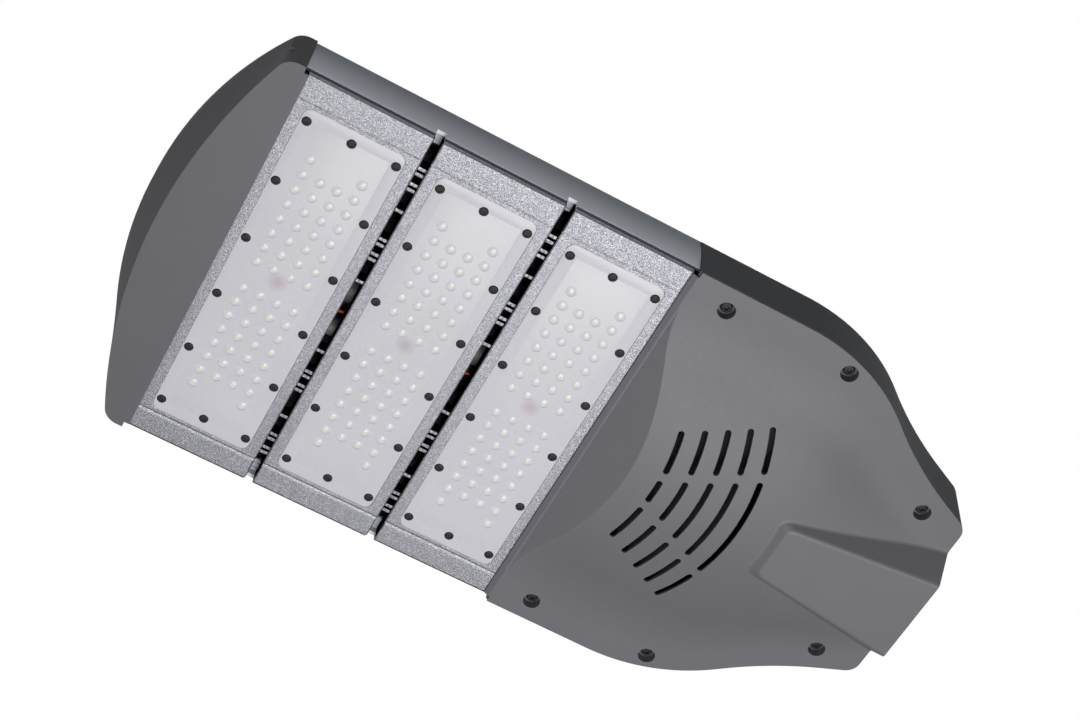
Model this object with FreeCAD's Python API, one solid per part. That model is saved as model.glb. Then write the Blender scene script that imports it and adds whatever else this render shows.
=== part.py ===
import FreeCAD, Part
import math
import os

# LED street light head, seen from the road: three LED modules in a frame of two
# side rails, a cast nose, and a cast tail housing with the driver and the arm socket.
# X runs from the pole towards the nose, Y across the lamp, Z up. Millimetres.
# The origin is the centre of the arm socket's mouth. The light leaves towards -Z.

# Levels over the axis of the arm socket
FACE_Z = -12.0            # light face of the modules
RAIL_BOTTOM_Z = -9.0
EDGE_Z = 33.7             # top edge of rails, nose and tail housing
CROWN_RISE = 14.3         # rise of the top over its edges, at the middle
FLANGE_Z = -15.5          # outer face of the driver cover's flange
NOSE_BOTTOM_Z = -13.5

# Plan sizes of the whole head
SIDE_STEP = 1.5           # castings' sides past the rails' edges
TAIL_LENGTH = 270.5       # arm socket mouth to the module bay
JOINT_GAP = 0.4           # between deck and castings

# Modules
MODULES = 3
MODULE_WIDTH = 94.0       # along X
MODULE_GAP = 6.0
MODULE_END_GAP = 2.5      # between the outer modules and the castings
MODULE_LENGTH = 312.0     # along Y
RAIL_CLEARANCE = 0.8      # module end to rail
BASE_THICKNESS = 15.0     # light face to the root of the fins
EDGE_ROUND = 1.6          # rounded long edges of the light face
FOLD_SETBACK = 18.0       # groove across each end of the light face
GROOVE_WIDTH = 0.9
GROOVE_DEPTH = 0.5

# Optics of one module, one behind the other
LENS_SIDE_MARGIN = 9.5    # lens to the module's edges
LENS_END_MARGIN = 22.0
LENS_CORNER = 6.0
LENS_CLEARANCE = 0.5      # lens edge to pocket
LENS_RECESS = 3.0         # lens face under the light face
LENS_THICKNESS = 2.5
GASKET_THICKNESS = 1.5
GASKET_WIDTH = 9.5
GASKET_END_WIDTH = 15.2
BOARD_SIDE_MARGIN = 12.5  # board to the lens's edges
BOARD_END_MARGIN = 21.0
BOARD_CLEARANCE = 1.0
BOARD_THICKNESS = 1.6
BOARD_RECESS = 2.6        # board pocket under the gasket seat
LED_SIDE = 3.5
LED_THICKNESS = 0.8
LED_COLUMNS = (-1.5, -0.5, 0.5, 1.5)
LED_COLUMN_PITCH = 13.0
LED_PITCH = 12.7
LED_FIRST_Y = 11.8
LED_END_MARGIN = 10.0     # least room past the last LED of an outer column
DOME_BASE_R = 4.7
DOME_TOP_R = 2.6
DOME_HEIGHT = 2.9
DOME_SIDES = 8

# Lens screws
SCREW_SIDE_MARGIN = 4.1   # screws to the lens's edges
SCREW_END_MARGIN = 9.1
SCREW_ROWS = 6
LENS_SCREW_HEAD_R = 3.65
LENS_SCREW_HEAD = 2.4
LENS_SCREW_R = 1.75
LENS_SCREW_LENGTH = 9.0
SOCKET_ACROSS_R = 1.7
SOCKET_DEPTH = 1.4

# Fins of a module, which stand out at both sides and nearly meet across the gaps
FIN_THICKNESS = 2.6
FIN_TOP_Z = 24.0
FIN_FOOT_Z = -9.0
FIN_END_GAP = 0.6         # between the fin ends of two modules
FIN_END_SETBACK = 34.4    # module's end to its outer groups
FIN_GROUPS = (-2, -1, 1, 2)   # none at the middle, where the leads run
FIN_GROUP_OFFSETS = (-8.8, -4.2, 4.2, 8.8)
SINGLE_FINS = (0.53, 1.56)    # in pitches of the groups

# Side rails
RAIL_WALL = 2.2
RAIL_BULGE = 1.4
LEDGE_WIDTH = 10.0
LEDGE_THICKNESS = 2.6
DECK_SEAT_DROP = 3.2      # deck seat under the rail's top edge
LIP_WIDTH = 3.2
NOTCH_WIDTH = 7.0
NOTCH_HEIGHT = 6.0
MODULE_SCREW_R = 2.0
MODULE_SCREW_HEAD_R = 3.8
MODULE_SCREW_HEAD = 2.6
MODULE_SCREW_BITE = 8.0

# Top deck
DECK_THICKNESS = 2.5
DECK_FOOT = 9.0
DECK_RIBS = 9
DECK_RIB_PITCH = 28.0
DECK_RIB_WIDTH = 3.0
DECK_RIB_HEIGHT = 4.0
DECK_RIB_SETBACK = 14.0
DECK_SCREWS = 4           # along each rail
DECK_SCREW_SETBACK = 18.0
DECK_SCREW_R = 2.0
DECK_SCREW_HEAD_R = 4.0
DECK_SCREW_HEAD = 2.2
DECK_SCREW_SINK = 0.6     # head under the deck's face
DECK_SCREW_TIP = 1.5      # past the rail's flange

# Nose casting
NOSE_LOW_REACH = (44.8, 13.7)     # module bay to the front edge, at the middle and the sides
NOSE_TOP_REACH = (59.3, 11.8)
NOSE_CORNER = 13.0
CASTING_WALL = 3.0
LUG_LENGTH = 24.0
LUG_DEPTH = 14.0
LUG_LOW_GAP = 0.8         # over the module screws' heads
LUG_HIGH_GAP = 0.4        # under the deck screws' tips
LUG_ROOT = 15.0           # inside the nose
RAIL_SCREW_R = 2.5
RAIL_SCREW_HEAD_R = 4.5
RAIL_SCREW_HEAD = 3.0
RAIL_SCREW_BITE = 1.8     # into the rail's wall

# Tail housing outline: straight side, convex shoulder, concave waist, tail corner
SHOULDER_SETBACK = 86.5   # module bay to the start of the shoulder
SHOULDER_RADIUS = 150.0
SHOULDER_TURN = 39.5
WAIST_RADIUS = 292.0
WAIST_TURN = 15.0
TAIL_CORNER = 12.0
TAIL_CROWN_DROP = 9.5     # the crown falls this much towards the mouth
TOP_ROUND = 5.0
RIM_WIDTH = 7.0           # inner rim that carries the cover gasket
RIM_THICKNESS = 4.0

# Driver cover
COVER_WALL = 2.5
COVER_FRONT_GAP = 1.0
STRIP_REACH = 1.9         # strips along cover and nose that run up to the modules
STRIP_END_MARGIN = 4.5    # end of a strip to the side
DOME_STATIONS = (         # share of the tail's length, height over the flange, distance to the side
    (1.0, 16.0, 22.5),
    (0.813, 19.2, 22.5),
    (0.628, 21.0, 23.5),
    (0.444, 19.0, 34.5),
    (0.296, 15.0, 61.5),
    (0.126, 9.5, 86.5),
    (0.0, 3.5, 102.5),
)
DOME_CREST_SHARE = 0.68   # part of the dome's section that is convex
FRONT_SLOPE_RUN = 32.0
FRONT_SLOPE_DROP = 18.5

# Hump of the cover over the arm socket
HUMP_PAST_SOCKET = 27.0
HUMP_ROOM = 3.55          # between the socket and the hump at the mouth
HUMP_FALL = 1.5           # rise of the hump from its front to the mouth
HUMP_TOP_SPREAD = 3.0     # edge of the hump's flat top past the socket's side
HUMP_TAPER = 15.5         # of each edge over the hump's length
HUMP_SIDE_SLOPE = 0.61    # run of the sides for each millimetre of height
HUMP_NOSE_SLOPE = 1.6
HUMP_CORNER = 9.0
HUMP_ROUND = 4.0
HUMP_FOOT_ROUND = 3.0

# Ventilation slots in the cover: rows of three arcs
VENT_ROWS = 5
VENT_SETBACK = 54.7       # module bay to the first row
VENT_PITCH = 16.7
VENT_RADIUS = 200.0
VENT_WIDTH = 4.5
VENT_HALF_FIRST = 7.9
VENT_HALF_STEP = 8.6
VENT_BRIDGE = 11.0
VENT_SIDE_LENGTH = 31.4

# Cover screws in wells
WELL_SIDE_MARGIN = 17.2   # wells to the side
WELL_SETBACKS = (30.0, 129.0)
REAR_WELL_X = 35.0
REAR_WELL_MARGIN = 88.7
WELL_R = 6.5
WELL_WALL = 1.6
WELL_FLOOR_Z = -7.5
WELL_FLOOR = 2.5
COVER_SCREW_R = 2.5
COVER_SCREW_HEAD_R = 4.6
COVER_SCREW_HEAD = 3.4
COVER_SCREW_LENGTH = 15.0
BOSS_R = 6.2
CLEAR = 0.25              # radial clearance of a screw in a plain hole

# Cover gasket
SEAL_INSET = 3.3
SEAL_WIDTH = 3.0
SEAL_THICKNESS = 1.0
WELL_GAP = 0.4            # round the cover's wells
RIM_OVER_SEAL = 1.5       # rim round a well beyond the gasket's eye

# Arm socket
SOCKET_R = 30.75
SOCKET_WALL = 3.2
SOCKET_LENGTH = 90.0
SOCKET_WEB_Y = 14.0       # two webs from the socket up to the crown
SOCKET_WEB = 4.0
ARCH_CLEARANCE = 0.6
SET_SCREW_R = 4.0
SET_SCREW_X = 26.0
SET_SCREW_ANGLE = 45.0
SET_SCREW_LENGTH = 10.0
SET_BOSS_R = 7.0
SET_BOSS_REACH = 41.0

# Driver bay
DRIVER_LENGTH = 168.0
DRIVER_WIDTH = 62.0
DRIVER_HEIGHT = 36.0
DRIVER_SETBACK = 84.5     # module bay to the driver's middle
DRIVER_TOP_Z = 24.0
DRIVER_FLANGE = 12.0
DRIVER_FLANGE_THICKNESS = 3.0
DRIVER_BOSS_R = 7.0
DRIVER_SCREW_R = 2.0
DRIVER_SCREW_HEAD_R = 4.0
DRIVER_SCREW_HEAD = 2.6
DRIVER_SCREW_LENGTH = 12.0
DRIVER_BOSS_SPACING = 36.0
TERMINAL_SETBACK = 32.5
TERMINAL_Y = 52.0
TERMINAL_SIZE = (24.0, 60.0, 18.0)
TERMINAL_TOP_Z = 14.0
TERMINAL_WAYS = 5
TERMINAL_WAY_DEPTH = 4.0
SURGE_SETBACK = 146.5
SURGE_Y = 92.0
SURGE_SIZE = (42.0, 28.0, 26.0)
SURGE_TOP_Z = 18.0
SURGE_ROUND = 3.0

# Series leads of the modules, in the channel between the fins
LEAD_R = 3.2
LEAD_Y = 12.0
CONNECTOR_R = 10.4
CONNECTOR_LENGTH = 34.0
CONNECTOR_RING_R = 9.2
CONNECTOR_RING = 9.0      # plain length at each end
LEAD_BOX = 30.0           # side of the wire box on each module
LEAD_BOX_HEIGHT = 23.0
LEAD_BOX_CORNER = 3.0
LEAD_HOLE_Y = 4.0
GLAND_NUT_R = 8.6
GLAND_NUT = 5.0
GLAND_THREAD_R = 6.0
GLAND_CONE = 5.0

# Loose wires that cross the gaps between their grommets
WIRE_R = 1.3
WIRE_BEND = 5.5
WIRE_Y = -7.0
WIRE_SLANT = 4.0          # shift along Y at each grommet
WIRE_Z = 11.0
WIRE_REACH = 27.0         # grommet to the middle of the gap
GROMMET_R = 4.0
GROMMET_HEIGHT = 1.6
SLEEVE_R = 7.2
SLEEVE_LENGTH = 22.0
SLEEVE_Y = -20.4

V = FreeCAD.Vector
X_AXIS = V(1, 0, 0)
Y_AXIS = V(0, 1, 0)
Z_AXIS = V(0, 0, 1)

# Values that follow from the sizes above
HALF_WIDTH = MODULE_LENGTH / 2 + RAIL_CLEARANCE + RAIL_WALL + SIDE_STEP
FOLD_Y = MODULE_LENGTH / 2 - FOLD_SETBACK
LENS_WIDTH = MODULE_WIDTH - 2 * LENS_SIDE_MARGIN
LENS_LENGTH = MODULE_LENGTH - 2 * LENS_END_MARGIN
BOARD_WIDTH = LENS_WIDTH - 2 * BOARD_SIDE_MARGIN
BOARD_LENGTH = LENS_LENGTH - 2 * BOARD_END_MARGIN
LEDS_OUTER = int((BOARD_LENGTH / 2 - LED_END_MARGIN - LED_FIRST_Y) / LED_PITCH) + 1
SCREW_OUT_X = LENS_WIDTH / 2 - SCREW_SIDE_MARGIN
SCREW_ROW_PITCH = (LENS_LENGTH - 2 * SCREW_END_MARGIN) / (SCREW_ROWS - 1)
FIN_GROUP_PITCH = (MODULE_LENGTH / 2 - FIN_END_SETBACK) / max(FIN_GROUPS)
BAY_LENGTH = MODULES * MODULE_WIDTH + (MODULES - 1) * MODULE_GAP + 2 * MODULE_END_GAP
BAY_END = TAIL_LENGTH + BAY_LENGTH
MODULE_PITCH = MODULE_WIDTH + MODULE_GAP
MODULE_X = [BAY_END - MODULE_END_GAP - MODULE_WIDTH / 2 - i * MODULE_PITCH for i in range(MODULES)]
MODULE_END_Y = MODULE_LENGTH / 2
RAIL_INNER_Y = MODULE_END_Y + RAIL_CLEARANCE
RAIL_OUTER_Y = RAIL_INNER_Y + RAIL_WALL
BASE_TOP_Z = FACE_Z + BASE_THICKNESS
LEAD_Z = BASE_TOP_Z + CONNECTOR_R
CUP_R = WELL_R + WELL_WALL
LENS_Z = FACE_Z + LENS_RECESS
GASKET_Z = LENS_Z + LENS_THICKNESS
SEAT_Z = GASKET_Z + GASKET_THICKNESS
BOARD_TOP_Z = SEAT_Z + BOARD_RECESS
BOARD_Z = BOARD_TOP_Z - BOARD_THICKNESS
LEDGE_TOP_Z = BASE_TOP_Z + LEDGE_THICKNESS
DECK_SEAT_Z = EDGE_Z - DECK_SEAT_DROP
DECK_EDGE_Y = RAIL_OUTER_Y - LIP_WIDTH - JOINT_GAP
LUG_FOOT = LEDGE_TOP_Z + MODULE_SCREW_HEAD + LUG_LOW_GAP
LUG_TOP = DECK_SEAT_Z - LEDGE_THICKNESS - DECK_SCREW_TIP - LUG_HIGH_GAP
CROWN_RADIUS = (HALF_WIDTH ** 2 + CROWN_RISE ** 2) / (2 * CROWN_RISE)
CROWN_Z = EDGE_Z + CROWN_RISE
SEAM_Z = FLANGE_Z + COVER_WALL
WELL_TOP_Z = WELL_FLOOR_Z + WELL_FLOOR
SOCKET_OUTER_R = SOCKET_R + SOCKET_WALL
SHOULDER_X = TAIL_LENGTH - SHOULDER_SETBACK
DRIVER_X = TAIL_LENGTH - DRIVER_SETBACK
HUMP_LENGTH = SOCKET_LENGTH + HUMP_PAST_SOCKET
HUMP_TOP_TAIL_Z = -SOCKET_OUTER_R - COVER_WALL - HUMP_ROOM
HUMP_TOP_FRONT_Z = HUMP_TOP_TAIL_Z + HUMP_FALL
HUMP_HALF_TAIL = SOCKET_OUTER_R + HUMP_TOP_SPREAD
HUMP_HALF_FRONT = HUMP_HALF_TAIL - HUMP_TAPER
SLOT_FACE = 100.0         # level from which cutters start, clear of the cover
FAR = 400.0               # beyond the part in any direction


def box(x0, x1, y0, y1, z0, z1):
    return Part.makeBox(x1 - x0, y1 - y0, z1 - z0, V(x0, y0, z0))


def rod(start, direction, radius, length):
    return Part.makeCylinder(radius, length, start, direction)


def line(p, q):
    return Part.makeLine(p, q)


def arc(p, middle, q):
    return Part.Arc(p, middle, q).toShape()


def wire(edges):
    return Part.Wire(Part.__sortEdges__(edges))


def raise_face(outline, height):
    return Part.Face(outline).extrude(V(0, 0, height))


def moved(shape, offset):
    copy = shape.copy()
    copy.translate(offset)
    return copy


def fused(shapes):
    body = shapes[0]
    for shape in shapes[1:]:
        body = body.fuse(shape)
    return body.removeSplitter()


def cut_all(body, tools):
    return body.cut(Part.makeCompound(tools)).removeSplitter()


def both_sides(shape):
    return [shape, shape.mirror(V(0, 0, 0), Y_AXIS)]


def keep_behind(shape, point, normal):
    """The part of a shape on the far side of a plane from its normal."""
    size = 3 * FAR
    slab = Part.makeBox(size, size, size, V(-size / 2, -size / 2, 0))
    slab.Placement = FreeCAD.Placement(point, FreeCAD.Rotation(Z_AXIS, normal))
    return shape.cut(slab)


def solid_of(shape):
    """The largest solid of a boolean result."""
    return max(shape.Solids, key=lambda solid: solid.Volume)


def rounded_plate(cx, cy, width, length, corner, z0, z1):
    plate = box(cx - width / 2, cx + width / 2, cy - length / 2, cy + length / 2, z0, z1)
    upright = [e for e in plate.Edges if abs(e.BoundBox.ZLength - (z1 - z0)) < 1e-6]
    return plate.makeFillet(corner, upright)


def prism(centre, radius, sides, height, turn=0.0):
    points = []
    for i in range(sides):
        angle = math.radians(turn) + 2 * math.pi * i / sides
        points.append(centre + V(radius * math.cos(angle), radius * math.sin(angle), 0))
    return raise_face(Part.makePolygon(points + points[:1]), height)


def screw(seat, direction, head_r, head, shank_r, length):
    """A screw with its head on a seat, its shank along a direction."""
    shank = rod(seat, direction, shank_r, length)
    return shank.fuse(rod(seat - direction * head, direction, head_r, head)).removeSplitter()


def crown_top(y):
    """Height of the common crown of deck, nose and tail housing."""
    return CROWN_Z - CROWN_RADIUS + math.sqrt(CROWN_RADIUS ** 2 - y ** 2)


def crown_body(drop):
    centre = V(-FAR, 0, CROWN_Z - CROWN_RADIUS)
    return rod(centre, X_AXIS, CROWN_RADIUS - drop, 4 * FAR)


# Nose casting

def nose_outline(reach, inset, z):
    """Straight back, rounded corners and a front arched from its reach at the middle and sides."""
    half = HALF_WIDTH - inset
    rise = reach[0] - reach[1]
    radius = (HALF_WIDTH ** 2 + rise ** 2) / (2 * rise)
    front = radius - inset
    centre_x = BAY_END + reach[0] - radius
    corner = NOSE_CORNER - inset
    corner_y = half - corner
    corner_x = centre_x + math.sqrt((front - corner) ** 2 - corner_y ** 2)
    stretch = front / (front - corner)
    tangent = V(centre_x + (corner_x - centre_x) * stretch, corner_y * stretch, z)
    side = V(corner_x, half, z)
    lean = math.atan2(corner_y, corner_x - centre_x)
    half_turn = (lean + math.pi / 2) / 2
    bend = V(corner_x + corner * math.cos(half_turn), corner_y + corner * math.sin(half_turn), z)
    back = V(BAY_END, half, z)
    apex = V(centre_x + front, 0, z)
    points = [back, side, bend, tangent]
    low = [V(p.x, -p.y, p.z) for p in points]
    return Part.Wire([
        line(low[0], back),
        line(back, side),
        arc(side, bend, tangent),
        arc(tangent, apex, low[3]),
        arc(low[3], low[2], low[1]),
        line(low[1], low[0]),
    ])


def nose_body(inset):
    low = nose_outline(NOSE_LOW_REACH, inset, NOSE_BOTTOM_Z + inset)
    top = nose_outline(NOSE_TOP_REACH, inset, EDGE_Z)
    walls = Part.makeLoft([low, top], True, True)
    cap = raise_face(top, CROWN_RISE + 2)
    return walls.fuse(cap).common(crown_body(inset))


def end_lugs(x0, x1):
    """Two blocks that reach into the rails, where the rail screws hold them."""
    return both_sides(box(x0, x1, RAIL_INNER_Y - LUG_DEPTH, RAIL_INNER_Y, LUG_FOOT, LUG_TOP))


def rail_screw_places():
    """Seat and direction of each screw from the lugs into the rails."""
    places = []
    seat_y = RAIL_INNER_Y - LUG_DEPTH
    z = (LUG_FOOT + LUG_TOP) / 2
    for x in (TAIL_LENGTH + LUG_LENGTH / 2, BAY_END - LUG_LENGTH / 2):
        for side in (1, -1):
            places.append((V(x, side * seat_y, z), V(0, side, 0)))
    return places


def edge_strip(x0, x1, face_z, wall):
    """Strip along a casting's edge that hides its gap to the modules."""
    half = HALF_WIDTH - STRIP_END_MARGIN
    return box(x0, x1, -half, half, face_z, face_z + wall)


def nose_cap():
    shell = solid_of(nose_body(0).cut(nose_body(CASTING_WALL)))
    lug_y = RAIL_INNER_Y - LUG_DEPTH
    root = box(BAY_END, BAY_END + LUG_ROOT, lug_y, HALF_WIDTH - CASTING_WALL / 2, LUG_FOOT, LUG_TOP)
    lugs = end_lugs(BAY_END - LUG_LENGTH, BAY_END + LUG_ROOT) + both_sides(root)
    holes = [rod(seat, way, RAIL_SCREW_R + CLEAR, LUG_DEPTH) for seat, way in rail_screw_places()]
    strip = edge_strip(BAY_END - STRIP_REACH, BAY_END + CASTING_WALL / 2, NOSE_BOTTOM_Z, CASTING_WALL)
    return cut_all(fused([shell, strip] + lugs), holes)


# Side rails

def rail_section():
    inner, outer = RAIL_INNER_Y, RAIL_OUTER_Y
    middle_z = (RAIL_BOTTOM_Z + EDGE_Z) / 2
    seat_y = outer - LIP_WIDTH
    points = [
        V(0, outer, EDGE_Z),
        V(0, seat_y, EDGE_Z),
        V(0, seat_y, DECK_SEAT_Z),
        V(0, inner - LEDGE_WIDTH, DECK_SEAT_Z),
        V(0, inner - LEDGE_WIDTH, DECK_SEAT_Z - LEDGE_THICKNESS),
        V(0, inner, DECK_SEAT_Z - LEDGE_THICKNESS),
        V(0, inner, LEDGE_TOP_Z),
        V(0, inner - LEDGE_WIDTH, LEDGE_TOP_Z),
        V(0, inner - LEDGE_WIDTH, BASE_TOP_Z),
        V(0, inner, BASE_TOP_Z),
        V(0, inner, RAIL_BOTTOM_Z),
        V(0, outer, RAIL_BOTTOM_Z),
    ]
    edges = [line(p, q) for p, q in zip(points, points[1:])]
    edges.append(arc(points[-1], V(0, outer + RAIL_BULGE, middle_z), points[0]))
    return Part.Wire(edges)


def gap_centres():
    return [x - MODULE_PITCH / 2 for x in MODULE_X[:-1]]


def module_screw_places():
    """Seats of the screws that hold the modules under the rails' ledges."""
    y = RAIL_INNER_Y - LEDGE_WIDTH / 2
    return [V(x + side_x * MODULE_WIDTH / 4, side_y * y, LEDGE_TOP_Z)
            for x in MODULE_X for side_x in (-1, 1) for side_y in (-1, 1)]


def deck_screw_places():
    """Centres of the countersunk deck screws, at the top of the deck's feet."""
    y = RAIL_INNER_Y - LEDGE_WIDTH / 2
    first = TAIL_LENGTH + DECK_SCREW_SETBACK
    step = (BAY_LENGTH - 2 * DECK_SCREW_SETBACK) / (DECK_SCREWS - 1)
    return [V(first + i * step, side * y, deck_foot_top()) for i in range(DECK_SCREWS) for side in (-1, 1)]


def deck_foot_top():
    return crown_top(RAIL_INNER_Y - LEDGE_WIDTH / 2) - DECK_SCREW_SINK


def side_rail():
    body = Part.Face(rail_section()).extrude(V(BAY_LENGTH, 0, 0))
    body.translate(V(TAIL_LENGTH, 0, 0))
    tools = []
    for x in gap_centres():
        tools.append(box(x - NOTCH_WIDTH / 2, x + NOTCH_WIDTH / 2, RAIL_INNER_Y - 1, HALF_WIDTH + 5,
                         RAIL_BOTTOM_Z - 1, RAIL_BOTTOM_Z + NOTCH_HEIGHT))
    for seat in module_screw_places():
        if seat.y > 0:
            tools.append(rod(seat - Z_AXIS * LEDGE_THICKNESS, Z_AXIS, MODULE_SCREW_R + CLEAR, LEDGE_THICKNESS))
    for top in deck_screw_places():
        if top.y > 0:
            foot = V(top.x, top.y, DECK_SEAT_Z - LEDGE_THICKNESS)
            tools.append(rod(foot, Z_AXIS, DECK_SCREW_R, LEDGE_THICKNESS))
    for seat, direction in rail_screw_places():
        if seat.y > 0:
            tools.append(rod(seat, direction, RAIL_SCREW_R, LUG_DEPTH + RAIL_SCREW_BITE))
    return cut_all(body, tools)


# Top deck

def deck_section():
    foot_y = DECK_EDGE_Y - DECK_FOOT
    half = [
        V(0, foot_y, crown_top(foot_y) - DECK_THICKNESS),
        V(0, foot_y, DECK_SEAT_Z),
        V(0, DECK_EDGE_Y, DECK_SEAT_Z),
        V(0, DECK_EDGE_Y, crown_top(DECK_EDGE_Y)),
    ]
    other = [V(0, -p.y, p.z) for p in half]
    edges = [line(p, q) for side in (half, other) for p, q in zip(side, side[1:])]
    edges.append(arc(half[3], V(0, 0, CROWN_Z), other[3]))
    edges.append(arc(half[0], V(0, 0, CROWN_Z - DECK_THICKNESS), other[0]))
    return wire(edges)


def deck_rib(y):
    """A low cooling rib along the deck, sloped at both ends."""
    x0 = TAIL_LENGTH + DECK_RIB_SETBACK
    x1 = BAY_END - DECK_RIB_SETBACK
    foot = crown_top(abs(y) + DECK_RIB_WIDTH / 2) - 1
    top = crown_top(y) + DECK_RIB_HEIGHT
    run = 2 * DECK_RIB_HEIGHT
    points = [V(x0, 0, foot), V(x1, 0, foot), V(x1 - run, 0, top), V(x0 + run, 0, top)]
    rib = Part.Face(Part.makePolygon(points + points[:1])).extrude(V(0, DECK_RIB_WIDTH, 0))
    return moved(rib, V(0, y - DECK_RIB_WIDTH / 2, 0))


def top_deck():
    sheet = Part.Face(deck_section()).extrude(V(BAY_LENGTH - 2 * JOINT_GAP, 0, 0))
    sheet.translate(V(TAIL_LENGTH + JOINT_GAP, 0, 0))
    middle = (DECK_RIBS - 1) / 2
    ribs = [deck_rib((i - middle) * DECK_RIB_PITCH) for i in range(DECK_RIBS)]
    tools = []
    for top in deck_screw_places():
        foot = V(top.x, top.y, DECK_SEAT_Z)
        tools.append(rod(foot, Z_AXIS, DECK_SCREW_R + CLEAR, top.z - DECK_SEAT_Z + 2))
        tools.append(deck_screw_head(top, 0))
        tools.append(rod(top, Z_AXIS, DECK_SCREW_HEAD_R, 3))
    return cut_all(fused([sheet] + ribs), tools)


def deck_screw_head(top, grow):
    foot = top - Z_AXIS * DECK_SCREW_HEAD
    return Part.makeCone(DECK_SCREW_R + grow, DECK_SCREW_HEAD_R + grow, DECK_SCREW_HEAD, foot, Z_AXIS)


def deck_screws():
    screws = []
    for top in deck_screw_places():
        tip = DECK_SEAT_Z - LEDGE_THICKNESS - DECK_SCREW_TIP
        shank = rod(V(top.x, top.y, tip), Z_AXIS, DECK_SCREW_R, top.z - DECK_SCREW_HEAD - tip)
        screws.append(deck_screw_head(top, 0).fuse(shank).removeSplitter())
    return screws


# Modules

def fin_places():
    places = [g * FIN_GROUP_PITCH + offset for g in FIN_GROUPS for offset in FIN_GROUP_OFFSETS]
    return places + [side * share * FIN_GROUP_PITCH for share in SINGLE_FINS for side in (-1, 1)]


def lens_screw_places():
    """Offsets from a module's centre of the screws round its lens."""
    rows = [(row - (SCREW_ROWS - 1) / 2) * SCREW_ROW_PITCH for row in range(SCREW_ROWS)]
    places = [(side * SCREW_OUT_X, y) for y in rows for side in (-1, 1)]
    return places + [(0.0, rows[0]), (0.0, rows[-1])]


def led_places():
    """Offsets from a module's centre of its LEDs, in two groups of four columns."""
    places = []
    for column in LED_COLUMNS:
        x = column * LED_COLUMN_PITCH
        outer = abs(column) == max(LED_COLUMNS)
        for i in range(LEDS_OUTER if outer else LEDS_OUTER - 1):
            y = LED_FIRST_Y + i * LED_PITCH
            places += [(x, y), (x, -y)]
    return places


def module_body(x):
    half = MODULE_WIDTH / 2
    base = box(x - half, x + half, -MODULE_END_Y, MODULE_END_Y, FACE_Z, BASE_TOP_Z)
    long_edges = [e for e in base.Edges
                  if e.BoundBox.YLength > MODULE_LENGTH - 1 and e.BoundBox.ZMax < FACE_Z + 1]
    base = base.makeFillet(EDGE_ROUND, long_edges)
    reach = MODULE_PITCH / 2 - FIN_END_GAP / 2
    fin_start = max(x - reach, TAIL_LENGTH + FIN_END_GAP)
    fin_end = min(x + reach, BAY_END - FIN_END_GAP)
    fins = []
    for y in fin_places():
        low_y = y - FIN_THICKNESS / 2
        fins.append(box(fin_start, fin_end, low_y, low_y + FIN_THICKNESS, FIN_FOOT_Z, FIN_TOP_Z))
    pocket = LENS_CLEARANCE * 2
    tools = [
        rounded_plate(x, 0, LENS_WIDTH + pocket, LENS_LENGTH + pocket, LENS_CORNER, FACE_Z - 1, SEAT_Z),
        board_box(x, BOARD_CLEARANCE, FACE_Z, BOARD_TOP_Z),
        rod(V(x, LEAD_HOLE_Y, FACE_Z), Z_AXIS, LEAD_R, BASE_THICKNESS + 1),
    ] + [
        rod(V(p.x, p.y, FACE_Z), Z_AXIS, WIRE_R, BASE_THICKNESS + 1)
        for p in wire_feet() if abs(p.x - x) < half
    ]
    for side in (-1, 1):
        y = side * FOLD_Y
        tools.append(box(x - half - 1, x + half + 1, y - GROOVE_WIDTH / 2, y + GROOVE_WIDTH / 2,
                         FACE_Z - 1, FACE_Z + GROOVE_DEPTH))
    for dx, y in lens_screw_places():
        depth = LENS_SCREW_LENGTH - LENS_THICKNESS - GASKET_THICKNESS
        tools.append(rod(V(x + dx, y, SEAT_Z), Z_AXIS, LENS_SCREW_R, depth))
    for seat in module_screw_places():
        if abs(seat.x - x) < half:
            start = V(seat.x, seat.y, BASE_TOP_Z - MODULE_SCREW_BITE)
            tools.append(rod(start, Z_AXIS, MODULE_SCREW_R, MODULE_SCREW_BITE))
    return cut_all(fused([base] + fins), tools)


def lens_gasket(x):
    outer = rounded_plate(x, 0, LENS_WIDTH, LENS_LENGTH, LENS_CORNER, GASKET_Z, SEAT_Z)
    inner_corner = LENS_CORNER / 2
    width = LENS_WIDTH - 2 * GASKET_WIDTH
    length = LENS_LENGTH - 2 * GASKET_END_WIDTH
    tools = [rounded_plate(x, 0, width, length, inner_corner, GASKET_Z - 1, SEAT_Z + 1)]
    for dx, y in lens_screw_places():
        tools.append(rod(V(x + dx, y, GASKET_Z), Z_AXIS, LENS_SCREW_R, GASKET_THICKNESS))
    return cut_all(outer, tools)


def board_box(x, grow, z0, z1):
    half_x, half_y = BOARD_WIDTH / 2 + grow, BOARD_LENGTH / 2 + grow
    return box(x - half_x, x + half_x, -half_y, half_y, z0, z1)


def circuit_board(x):
    hole = rod(V(x, LEAD_HOLE_Y, BOARD_Z), Z_AXIS, LEAD_R, BOARD_THICKNESS)
    return cut_all(board_box(x, 0, BOARD_Z, BOARD_TOP_Z), [hole])


def leds(x):
    half = LED_SIDE / 2
    top = BOARD_Z
    return [box(x + dx - half, x + dx + half, y - half, y + half, top - LED_THICKNESS, top)
            for dx, y in led_places()]


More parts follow.
